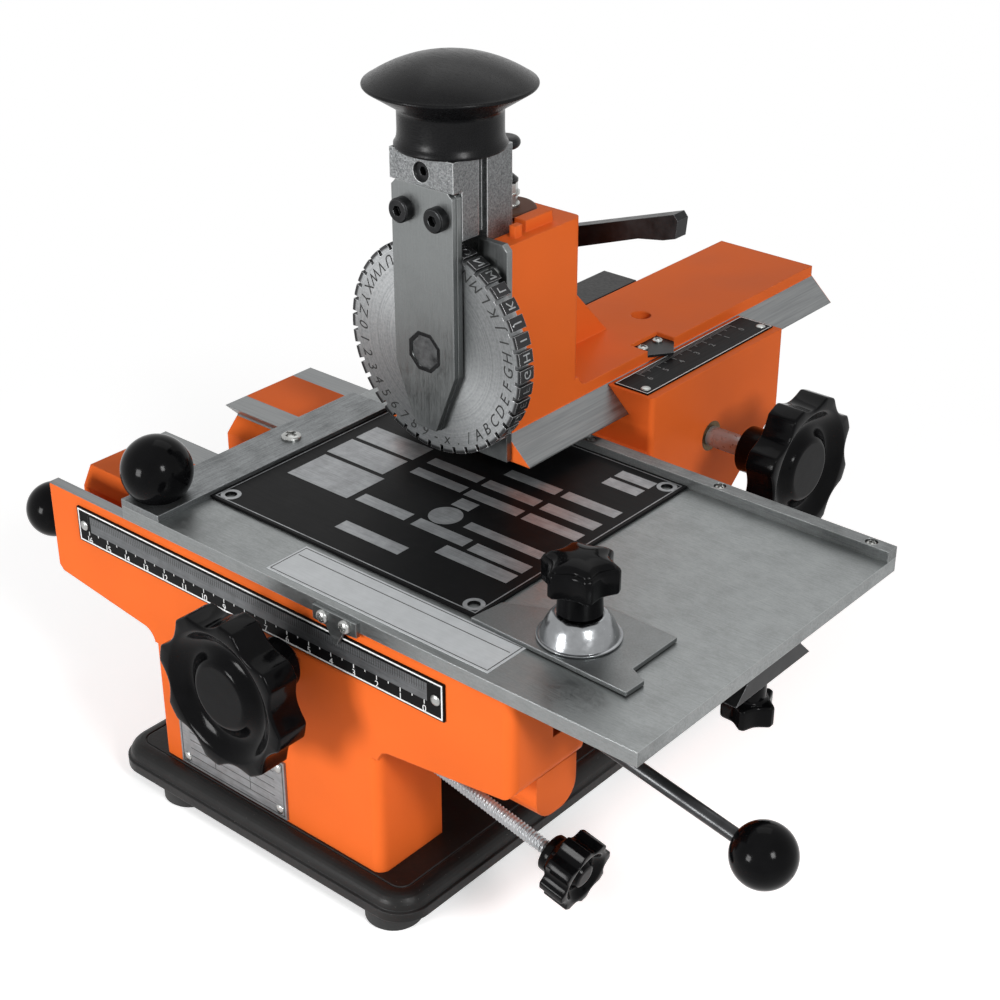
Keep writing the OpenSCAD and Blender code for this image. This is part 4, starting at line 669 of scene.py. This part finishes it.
def handwheel_rings(radius, lobes, hollow, dish, disc, depth, back, hub, hub_length, turn):
    """Rings of a handwheel about its own Z, face at 0: hub, flat back, flat-topped lobes with hollows
    between them, rounded face edge, and a ring dish. Across the dish from its rim to the disc the depth
    follows the sine of half a turn of the way raised to 1.15, so it is deepest nearer the disc."""
    hollows = lobed_radius(circle(240) - turn, lobes, hollow, hollow_share=0.72)
    bend, sunk, hub_end = radius * 0.032, -depth * 0.12, back - hub_length
    way = np.linspace(0, 1, 20)[1:-1]
    face = np.stack([dish + (disc - dish) * way, np.zeros(18),
                     -depth * np.sin(np.pi * way ** 1.15) ** 0.9], -1)
    profile = np.concatenate([
        [[0.6, 0, hub_end], [hub - 0.8, 0, hub_end]],
        arc_rows(hub - 0.8, hub_end + 0.8, 0.8, -90, 0, 4),
        [[hub, 0, back - hub_length * 0.5], [hub * 1.33, 0, back - bend]],
        arc_rows(hub * 1.33 + bend, back - bend, bend, 180, 90, 5),
        [[radius * 0.68, 0, back], [radius - bend - 0.1, 1, back]],
        arc_rows(radius - bend, back + bend, bend, -80, 0, 5, 1.0),
        [[radius, 1, back * 0.5]],
        arc_rows(radius - bend, -bend, bend, 0, 82, 6, 1.0),
        [[dish + 0.5, 0, 0.0], [dish + 0.2, 0, -0.08]], face,
        [[disc - 0.2, 0, -depth * 0.16], [disc - 0.6, 0, sunk], [disc - 1.2, 0, sunk], [0.6, 0, sunk]]])
    return turned(profile, circle(240), hollows)


class MACHINE_OT_handwheels(bpy.types.Operator):
    """Turn the two lobed handwheels with their dished faces"""
    bl_idname = "machine.handwheels"
    bl_label = "Handwheels"

    def execute(self, context):
        size = sizes_of(context.scene.machine_knobs)
        shape = [size[key] for key in ("wheel_radius", "wheel_lobes", "wheel_hollow", "dish_radius",
                                       "disc_radius", "dish_depth")]
        rim_width, hub_radius = 12.0, 9.0
        for node, name, body, axis, out, across, turn in (
                ("x_handwheel", "front_handwheel", "x_drive", 1, (0, -1, 0), (1, 0, 0), size["wheel_turn"]),
                ("y_handwheel", "arm_handwheel", "y_drive", 0, (1, 0, 0), (0, 1, 0), size["arm_wheel_turn"])):
            low, face, high = machine_box(node)
            face[axis] = high[axis] if out[axis] > 0 else low[axis]
            hub_length = high[axis] - low[axis] - rim_width
            rings = handwheel_rings(*shape, -rim_width, hub_radius, hub_length, turn)
            add_piece(name, *loft(carried(rings, face, out, across)), "phenolic", body, "knob_plastic",
                      hides=[node])
        return {"FINISHED"}


def star_rings(radius, lobes, depth, hub_radius, hub_height, star_height, crown):
    """Rings of a star knob about its own Z, hub down: round hub, a lobed star whose hollows fade out
    towards the domed crown, and a small flat where the mould parted."""
    angle = circle(32 * lobes)
    hollows = lobed_radius(angle, lobes, depth, hollow_share=0.86)
    top = hub_height + star_height
    t = np.linspace(0, 1, 12)
    dome = np.stack([(radius - 1.4) * np.cos(t * np.pi / 2 * 0.97), np.clip(1 - t * 1.15, 0, 1) ** 0.8,
                     top - 0.4 + (crown + 0.4) * np.sin(t * np.pi / 2)], -1)
    profile = np.concatenate([
        [[0.6, 0, 0], [hub_radius - 0.5, 0, 0], [hub_radius, 0, 0.5],
         [hub_radius * 0.97, 0, hub_height * 0.5], [hub_radius * 0.97, 0, hub_height - 1.2]],
        arc_rows(hub_radius + 0.8, hub_height - 1.2, 1.0, 180, 100, 4),
        [[radius - 1.2, 1, hub_height]],
        arc_rows(radius - 1.0, hub_height + 1.0, 1.0, -80, 0, 4, 1.0),
        arc_rows(radius - 1.5, top - 1.7, 1.5, 0, 70, 6, 1.0), dome])
    return turned(profile, angle, hollows)


class MACHINE_OT_star_knobs(bpy.types.Operator):
    """Turn the star knobs of the clamp and the table lock"""
    bl_idname = "machine.star_knobs"
    bl_label = "Star knobs"

    def execute(self, context):
        low, middle, high = machine_box("clamp_knob")
        star_height, crown = 8.8, 2.2
        rings = star_rings(radius=12.3, lobes=6, depth=2.5, hub_radius=7.2, star_height=star_height,
                           hub_height=high[2] - low[2] - star_height - crown, crown=crown)
        knob = carried(rings, (middle[0], middle[1], low[2]), x_axis=(1, 0.35, 0))
        add_piece("clamp_star_knob", *loft(knob), "phenolic", "clamp_knob", "knob_plastic",
                  hides=["clamp_knob"])
        # The lock knob hangs from the slider, and its stem goes a little way into the slider's bore
        x, y, top = 70, 72, machine_box("table_slider")[0][2] - 0.3
        rings = star_rings(radius=8.8, lobes=5, depth=2.2, hub_radius=5.25, hub_height=12.0,
                           star_height=8.0, crown=1.0)
        knob = carried(rings, (x, y, top), (0, 0, -1))
        stem = turned([[0.4, 0, -0.1], [2.5, 0, -0.1], [2.5, 0, 5.6], [0.4, 0, 5.8]], circle(24))
        shape = joined([loft(knob), loft(carried(stem, (x, y, top - 0.2)))])
        add_piece("lock_star_knob", *shape, "phenolic", "under_knob", "knob_plastic", hides=["under_knob"])
        return {"FINISHED"}


PITCH_TILT = math.radians(11.9)


class MACHINE_OT_pitch_screw(bpy.types.Operator):
    """Cut the thread of the pitch screw and turn its small wheel"""
    bl_idname = "machine.pitch_screw"
    bl_label = "Pitch screw"

    def execute(self, context):
        size = sizes_of(context.scene.machine_knobs)
        out = np.array([math.cos(PITCH_TILT), 0, -math.sin(PITCH_TILT)])
        across = np.cross((0, 1, 0), out)
        seat = pitch_seat(out)
        # The thread is a helix: the radius drops by the depth times a triangle wave of the turns passed
        per_turn, start, end, radius, knob_face = 6, -24.0, 67.0, 2.5, 79.0
        angle = circle(20)[None]
        height = np.linspace(start, end, int((end - start) / size["screw_pitch"] * per_turn) + 1)[:, None]
        phase = np.mod(height / size["screw_pitch"] - angle / (2 * np.pi), 1.0)
        cut = radius - size["thread_depth"] * np.abs(2 * phase - 1)
        rings = np.stack([cut * np.cos(angle), cut * np.sin(angle), np.broadcast_to(height, cut.shape)], -1)
        add_piece("threaded_pitch_screw", *loft(carried(rings, seat, out, across)), "bright",
                  "pitch_screw", "bright_steel", crease=60, hides=["pitch_screw"])
        knob = handwheel_rings(radius=11.6, lobes=8, hollow=1.7, dish=8.6, disc=3.6, depth=2.6, back=-9.0,
                               hub=6.2, hub_length=5.5, turn=0.2)
        add_piece("pitch_wheel_knob", *loft(carried(knob, seat + out * knob_face, out, across)), "phenolic",
                  "pitch_screw", "knob_plastic", hides=["pitch_knob"])
        return {"FINISHED"}


def pitch_seat(out):
    """Where the pitch screw's axis leaves the pedestal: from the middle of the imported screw, the half of its
    length less the 26 mm that lie in the pedestal."""
    low, middle, high = machine_box("pitch_screw")
    length = (high[0] - low[0] - 5.0 * math.sin(PITCH_TILT)) / math.cos(PITCH_TILT)
    return middle + out * (26.0 - length / 2)


class MACHINE_OT_press_knob(bpy.types.Operator):
    """Turn the mushroom knob that the palm presses"""
    bl_idname = "machine.press_knob"
    bl_label = "Press knob"

    def execute(self, context):
        low, middle, high = machine_box("press_knob")
        total = high[2] - low[2]
        # The dome is part of a sphere of radius ball over the rim; the straight underside leans by tilt
        neck, fillet, tilt, rise = 17.8, 3.0, 33, 8.7
        rim = (high[0] - low[0]) / 2 - 0.7
        ball = (rim * rim + rise * rise) / (2 * rise)
        x = rim * (1 - np.linspace(0.03, 0.985, 24) ** 1.3)
        dome = np.stack([x, np.zeros(24), total - ball + np.sqrt(ball * ball - x * x)], -1)
        under = total - rise - 1.5
        lean = math.radians(tilt)
        bend = under - (rim - neck - fillet) * math.tan(lean) - fillet / math.cos(lean)
        profile = np.concatenate([
            [[0.8, 0, 0], [18.7, 0, 0], [19.0, 0, 0.3], [19.0, 0, 1.0], [18.4, 0, 1.9], [18.0, 0, 3.2],
             [neck, 0, 5.0]],
            arc_rows(neck + fillet, bend, fillet, 180, 90 + tilt, 8),
            arc_rows(rim, under + 0.75, 0.7, tilt - 90, 78, 8), dome])
        rings = carried(turned(profile, circle(160)), (middle[0], middle[1], low[2]))
        add_piece("palm_knob", *loft(rings), "press", "ram", "press_plastic", crease=50,
                  hides=["press_knob"])
        return {"FINISHED"}


class MACHINE_OT_dome_washer(bpy.types.Operator):
    """Turn the polished domed washer under the clamp knob"""
    bl_idname = "machine.dome_washer"
    bl_label = "Domed washer"

    def execute(self, context):
        low, middle, high = machine_box("dome_washer")
        rim, total, brim, bore = (high[0] - low[0]) / 2, high[2] - low[2], 0.9, 2.9
        # The dome's height follows the sine of the way from the rim to the neck, raised to 0.9
        way = np.linspace(0, 1, 20)
        dome = np.stack([rim - brim - (rim - 8.3) * way, np.zeros(20),
                         brim + (total - brim) * np.sin(way * np.pi / 2) ** 0.9], -1)
        profile = np.concatenate([
            [[bore + 0.1, 0, 0], [rim - 0.3, 0, 0], [rim, 0, 0.3], [rim, 0, 0.7], [rim - 0.3, 0, brim]],
            dome, [[bore + 0.1, 0, total], [bore, 0, total - 0.3], [bore, 0, 0.3]]])
        rings = carried(turned(profile, circle(128)), (middle[0], middle[1], low[2]))
        count, sides, _ = rings.shape
        points, faces = loft(rings)
        # The fans that close the ends go, and the last ring joins the first one in the bore
        last, j = (count - 1) * sides, np.arange(sides)
        k = (j + 1) % sides
        faces = faces[:last] + np.stack([last + j, last + k, k, j], -1).tolist()
        add_piece("polished_dome_washer", points[:count * sides], faces, "polished", "clamp",
                  "bright_steel", crease=50, hides=["dome_washer"])
        return {"FINISHED"}


def frame_slabs(x0, z0, x1, z1, width):
    """Low and high corners, in a plane, of the four bars of a rectangular border."""
    return [((x0, z0), (x1, z0 + width)), ((x0, z1 - width), (x1, z1)),
            ((x0, z0 + width), (x0 + width, z1 - width)), ((x1 - width, z0 + width), (x1, z1 - width))]


def upright(rects, y, thickness):
    """Slabs standing off a face that looks to the front, from rectangles in X and Z."""
    low = [(a[0], y - thickness, a[1]) for a, b in rects]
    high = [(b[0], y, b[1]) for a, b in rects]
    return slabs(low, high)


def level(rects, z, thickness):
    """Slabs lying on a level face, from rectangles in X and Y."""
    low = [(a[0], a[1], z) for a, b in rects]
    high = [(b[0], b[1], z + thickness) for a, b in rects]
    return slabs(low, high)


class MACHINE_OT_front_scale(bpy.types.Operator):
    """Print the lines, band, border and numbers of the front scale"""
    bl_idname = "machine.front_scale"
    bl_label = "Front scale"

    def execute(self, context):
        size = sizes_of(context.scene.machine_scales)
        ink, digit = size["print_thickness"], size["number_height"]
        low, _, high = machine_box("x_scale")
        # The band of millimetres stands on this line, and the lines of the centimetres hang from it
        face, line, band_height, left, right = low[1], 98.0, 6.4, -158.8, 1.2
        band = [((left, line), (right, line + band_height))]
        add_piece("scale_band", *upright(band, face, ink), "band", "base", "scale_black")
        half = size["line_width"] / 2
        fine = [((-k - half * 0.6, line + 3.4), (-k + half * 0.6, line + band_height)) for k in range(161)]
        add_piece("scale_millimetres", *upright(fine, face - ink, ink * 0.5), "black_ink", "base",
                  "scale_black")
        lines = [((-k * 5 - half, line - (0.8 if k % 2 else 1.5)), (-k * 5 + half, line)) for k in range(33)]
        lines += frame_slabs(low[0] + 0.5, low[2] + 0.4, high[0] - 0.5, high[2] - 0.4, 0.55)
        add_piece("scale_lines", *upright(lines, face, ink), "white", "base", "scale_black")
        items = [(str(k), (-k * 10, face, line - 3.3), (1, 0, 0), (0, 0, 1), digit * 0.62, False)
                 for k in range(17)]
        add_piece("scale_numbers", *set_in_type(characters("0123456789", digit, 0.0, ink * 2), items),
                  "white", "base", "scale_black")
        return {"FINISHED"}


class MACHINE_OT_arm_scale(bpy.types.Operator):
    """Print the lines, border and numbers of the arm's scale"""
    bl_idname = "machine.arm_scale"
    bl_label = "Arm scale"

    def execute(self, context):
        size = sizes_of(context.scene.machine_scales)
        ink, width = size["print_thickness"], size["line_width"]
        low, _, high = machine_box("y_scale")
        left, top, start = low[0] + 0.5, high[2], 170.0
        border = frame_slabs(low[0] + 0.3, low[1] + 0.3, high[0] - 0.3, high[1] - 0.3, 0.3)
        add_piece("arm_scale_border", *level(border, top, ink), "white", "base", "scale_black")
        reach = [4.6 if k % 10 == 0 else 3.6 if k % 5 == 0 else 2.4 for k in range(61)]
        ticks = [((left + 0.6, start + k), (left + reach[k], start + k + width)) for k in range(61)]
        add_piece("arm_scale_lines", *level(ticks, top, ink), "grey_ink", "base", "scale_black")
        items = [(str(6 - k), (left + 7.2, start + 10 * k, top), (0, 1, 0), (-1, 0, 0), 0.0, False)
                 for k in range(7)]
        add_piece("arm_scale_numbers", *set_in_type(characters("0123456", 2.6, 0.0, ink * 2), items),
                  "grey_ink", "base", "scale_black")
        return {"FINISHED"}


# Bare fields of the nameplate blank: left, front, right and back in machine millimetres
NAMEPLATE_FIELDS = [
    (-80.2, 88.7, -56.7, 93.5), (-80, 79.5, -56.4, 84.3), (-53.4, 99.4, -30.4, 104.2),
    (-54.3, 88.3, -30.7, 93.4), (-54.5, 79.1, -30.7, 83.9), (-27.9, 99.5, -4.8, 104.4),
    (-28.1, 88.1, -5, 93.5), (-28.4, 78.8, -5, 84),
    (-53, 71.1, -45.2, 77), (-39.4, 61.9, -6.5, 66.3), (-54.2, 52, -31, 57.4), (-28.4, 51.3, -5, 56.8),
    (-35.4, 43.4, -5, 49.5), (-23.3, 123.9, -8.3, 129), (-23.5, 116.8, -8.5, 122),
    (-112.4, 51.2, -83.2, 70), (-113.6, 72, -86, 85), (-113.6, 87, -85.5, 98), (-80.4, 52.5, -57.7, 57.9),
    (-72.2, 34.3, -43.6, 40),
]


class MACHINE_OT_nameplate(bpy.types.Operator):
    """Lay the border, bare fields and ringed holes of the nameplate blank"""
    bl_idname = "machine.nameplate"
    bl_label = "Nameplate blank"

    def execute(self, context):
        low, _, high = machine_box("sample_plate")
        top, ink, inset = high[2], 0.05, 5
        fields = [((x0, y0), (x1, y1)) for x0, y0, x1, y1 in NAMEPLATE_FIELDS]
        border = frame_slabs(low[0] + 1.2, low[1] + 1.2, high[0] - 1.2, high[1] - 1.2, 0.4)
        points, faces = ring_slab(outer=3.6, inner=2.15, bottom=top, top=top + ink)
        rings = [(points + np.array([x, y, 0]), faces)
                 for x in (low[0] + inset, high[0] - inset) for y in (low[1] + inset, high[1] - inset)]
        radius, place = 6.0, np.array([-49.1, 64.1, 0])
        disc = turned([[r, 0, z] for r, z in ((1, top), (radius, top), (radius, top + ink), (1, top + ink))],
                      circle(48))
        rings.append(loft(disc + place))
        for name, shape in (("fields", level(fields, top, ink)), ("border", level(border, top, ink)),
                            ("rings", joined(rings))):
            add_piece("nameplate_" + name, *shape, "foil", "table", "plate_silver")
        return {"FINISHED"}


class MACHINE_OT_plates(bpy.types.Operator):
    """Rule the bare label and the bare plate, and mark the dial pin's eight-sided seat"""
    bl_idname = "machine.plates"
    bl_label = "Label, plate and pin seat"

    def execute(self, context):
        ink = 0.04
        low, _, high = machine_box("label_plate")
        lines = frame_slabs(low[0] + 0.8, low[1] + 0.8, high[0] - 0.8, high[1] - 0.8, 0.3)
        lines.append(((low[0] + 2, high[1] - 5.6), (high[0] - 2, high[1] - 5.3)))
        add_piece("label_rules", *level(lines, high[2], ink), "black_ink", "table", "plate_silver")
        low, _, high = machine_box("spec_plate")
        rows = frame_slabs(low[0] + 0.9, low[2] + 0.9, high[0] - 0.9, high[2] - 0.9, 0.35)
        rows += [((low[0] + 5.4, low[2] + z), (high[0] - 5.4, low[2] + z + 0.25))
                 for z in (4.6, 8.0, 11.4, 14.8, 18.2)]
        rows += [((low[0] + x, low[2] + 4.6), (low[0] + x + 0.25, low[2] + 14.8)) for x in (18.0, 36.0)]
        # An eighth of half a turn puts two sides of the seat level
        pin, turn = machine_box("dial_pin")[1], math.pi / 8
        pin[1] = machine_box("front_plate")[0][1]
        points, faces = ring_slab(outer=7.7, inner=6.15, bottom=0.0, top=0.05, sides=8)
        seat = carried(points, pin, (0, -1, 0), (math.cos(turn), 0, math.sin(turn)))
        add_piece("pin_seat", seat, faces, "oxide", "ram", "dark_steel")
        add_piece("spec_rules", *upright(rows, low[1], ink), "black_ink", "base", "plate_silver")
        return {"FINISHED"}


WHEEL_SIGNS = "ABCDEFGHIJKLMNOPQRSTUVWXYZ0123456789-x./"


class MACHINE_OT_type_wheel(bpy.types.Operator):
    """Letter the type wheel's face and raise the mirrored type round its rim"""
    bl_idname = "machine.type_wheel"
    bl_label = "Type wheel"

    def execute(self, context):
        size = sizes_of(context.scene.machine_scales)
        low, middle, high = machine_box("type_wheel")
        seat, rim = np.array([middle[0], low[1], middle[2]]), (high[0] - low[0]) / 2
        first_degrees, step_degrees = -54, 9
        angle = np.radians(first_degrees + step_degrees * np.arange(len(WHEEL_SIGNS)))
        out = np.stack([np.cos(angle), np.zeros_like(angle), np.sin(angle)], -1)
        along = np.stack([-np.sin(angle), np.zeros_like(angle), np.cos(angle)], -1)
        items = [(sign, seat + out[i] * size["type_radius"], along[i], -out[i], 0.0, False)
                 for i, sign in enumerate(WHEEL_SIGNS)]
        shapes = characters(WHEEL_SIGNS, size["type_height"], slant=0.25, thickness=0.08)
        add_piece("wheel_letters", *set_in_type(shapes, items), "black_ink", "dial", "black_steel")
        items = [(sign, middle + out[i] * (rim - 0.18), along[i], (0, 1, 0), 0.0, True)
                 for i, sign in enumerate(WHEEL_SIGNS)]
        shapes = characters(WHEEL_SIGNS, height=3.4, slant=0.0, thickness=0.6)
        add_piece("rim_type", *set_in_type(shapes, items), "type", "dial", "bright_steel")
        return {"FINISHED"}


def area_lamp(name, place, width, height, power):
    """A soft rectangular lamp at a place, looking at the machine's middle."""
    lamp = bpy.data.lights.new(name, "AREA")
    lamp.shape, lamp.size, lamp.size_y, lamp.energy = "RECTANGLE", width, height, power
    holder = bpy.data.objects.new(name, lamp)
    bpy.context.scene.collection.objects.link(holder)
    holder.location = place
    holder.rotation_euler = (Vector(MACHINE_MIDDLE) - Vector(place)).to_track_quat("-Z", "Y").to_euler()


class MACHINE_OT_stage(bpy.types.Operator):
    """Set the plain floor, the soft studio lamps and the camera"""
    bl_idname = "machine.stage"
    bl_label = "Stage"

    def execute(self, context):
        scene, studio = context.scene, context.scene.machine_studio
        white = {"Strength": 1.0}
        # Floor: matt pale paper with a faint fibre. To the camera it goes over to plain white away from
        # the machine, and close by it keeps the machine's shadow
        f = Finish("pale_paper_floor")
        tone = f.mix(f.spread(f.clouds(4), 0.3, 0.7), shade(studio.floor, 0.985), tuple(studio.floor))
        material, seen = f.done(Base_Color=tone, Roughness=0.9, Specular_IOR_Level=0.1), f.seen_ray()
        far = f.maths("MULTIPLY", f.spread(f.vector("LENGTH", f.place, output="Value"), 0.2, 0.42), seen)
        glow = f.add("Emission", {"Strength": f.maths("MULTIPLY", seen, studio.floor_white)})
        lifted = f.add("AddShader", {0: f.shader.outputs[0], 1: glow})
        whole = f.add("MixShader", {0: far, 1: lifted, 2: f.add("Emission", white)})
        f.tree.links.new(whole, f.tree.nodes["Material Output"].inputs["Surface"])
        mesh, reach = bpy.data.meshes.new("floor"), 6.0
        mesh.from_pydata([(-reach, -reach, 0), (reach, -reach, 0), (reach, reach, 0), (-reach, reach, 0)], [],
                         [(0, 1, 2, 3)])
        mesh.materials.append(material)
        floor = bpy.data.objects.new("floor", mesh)
        scene.collection.objects.link(floor)

        world = bpy.data.worlds.new("studio")
        scene.world = world
        world.use_nodes = True
        sky, colour = ShaderTree(world.node_tree), {"Color": (1, 1, 1, 1)}
        room = sky.add("Background", {**colour, "Strength": studio.room_light})
        seen_white = sky.add("Background", {**colour, **white})
        both = sky.add("MixShader", {0: sky.seen_ray(), 1: room, 2: seen_white})
        sky.add("OutputWorld", {"Surface": both})

        area_lamp("key_lamp", (-0.27, -1.28, 0.34), width=0.32, height=0.36, power=studio.key_power)
        area_lamp("fill_lamp", (1.1, -0.5, 0.82), width=0.26, height=0.34, power=studio.fill_power)
        area_lamp("top_lamp", (-0.3, 0.5, 1.1), width=0.8, height=0.6, power=studio.top_power)

        lens = bpy.data.cameras.new("camera")
        lens.lens, lens.sensor_width, lens.clip_start, lens.clip_end = CAMERA_LENS, 36.0, 0.01, 50.0
        camera = bpy.data.objects.new("camera", lens)
        scene.collection.objects.link(camera)
        camera.location, camera.rotation_euler = CAMERA_PLACE, CAMERA_TURN
        scene.camera = camera
        scene.view_settings.view_transform = "Standard"
        return {"FINISHED"}


OPERATORS = [MACHINE_OT_finishes, MACHINE_OT_handwheels, MACHINE_OT_star_knobs, MACHINE_OT_pitch_screw,
             MACHINE_OT_press_knob, MACHINE_OT_dome_washer, MACHINE_OT_front_scale, MACHINE_OT_arm_scale,
             MACHINE_OT_nameplate, MACHINE_OT_plates, MACHINE_OT_type_wheel, MACHINE_OT_stage]
GROUPS = {"machine_colours": PaintColours, "machine_knobs": KnobSizes, "machine_scales": ScaleSizes,
          "machine_studio": StudioSettings}


class MACHINE_PT_pieces(bpy.types.Panel):
    """Lists the machine's sizes, colours and pieces"""
    bl_idname = "MACHINE_PT_pieces"
    bl_label = "Marking machine"
    bl_space_type = "VIEW_3D"
    bl_region_type = "UI"
    bl_category = "Marking machine"

    def draw(self, context):
        for key in GROUPS:
            box = self.layout.box()
            for name in GROUPS[key].__annotations__:
                box.prop(getattr(context.scene, key), name)
        for operator in OPERATORS:
            self.layout.operator(operator.bl_idname)


def register():
    for group in GROUPS.values():
        bpy.utils.register_class(group)
    for key, group in GROUPS.items():
        setattr(bpy.types.Scene, key, bpy.props.PointerProperty(type=group))
    for cls in [*OPERATORS, MACHINE_PT_pieces]:
        bpy.utils.register_class(cls)


def unregister():
    for cls in reversed([*OPERATORS, MACHINE_PT_pieces]):
        bpy.utils.unregister_class(cls)
    for key in GROUPS:
        delattr(bpy.types.Scene, key)
    for group in reversed(list(GROUPS.values())):
        bpy.utils.unregister_class(group)


def main():
    """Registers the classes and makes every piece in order."""
    register()
    for operator in OPERATORS:
        area, name = operator.bl_idname.split(".")
        getattr(getattr(bpy.ops, area), name)()


if __name__ == "__main__":
    main()
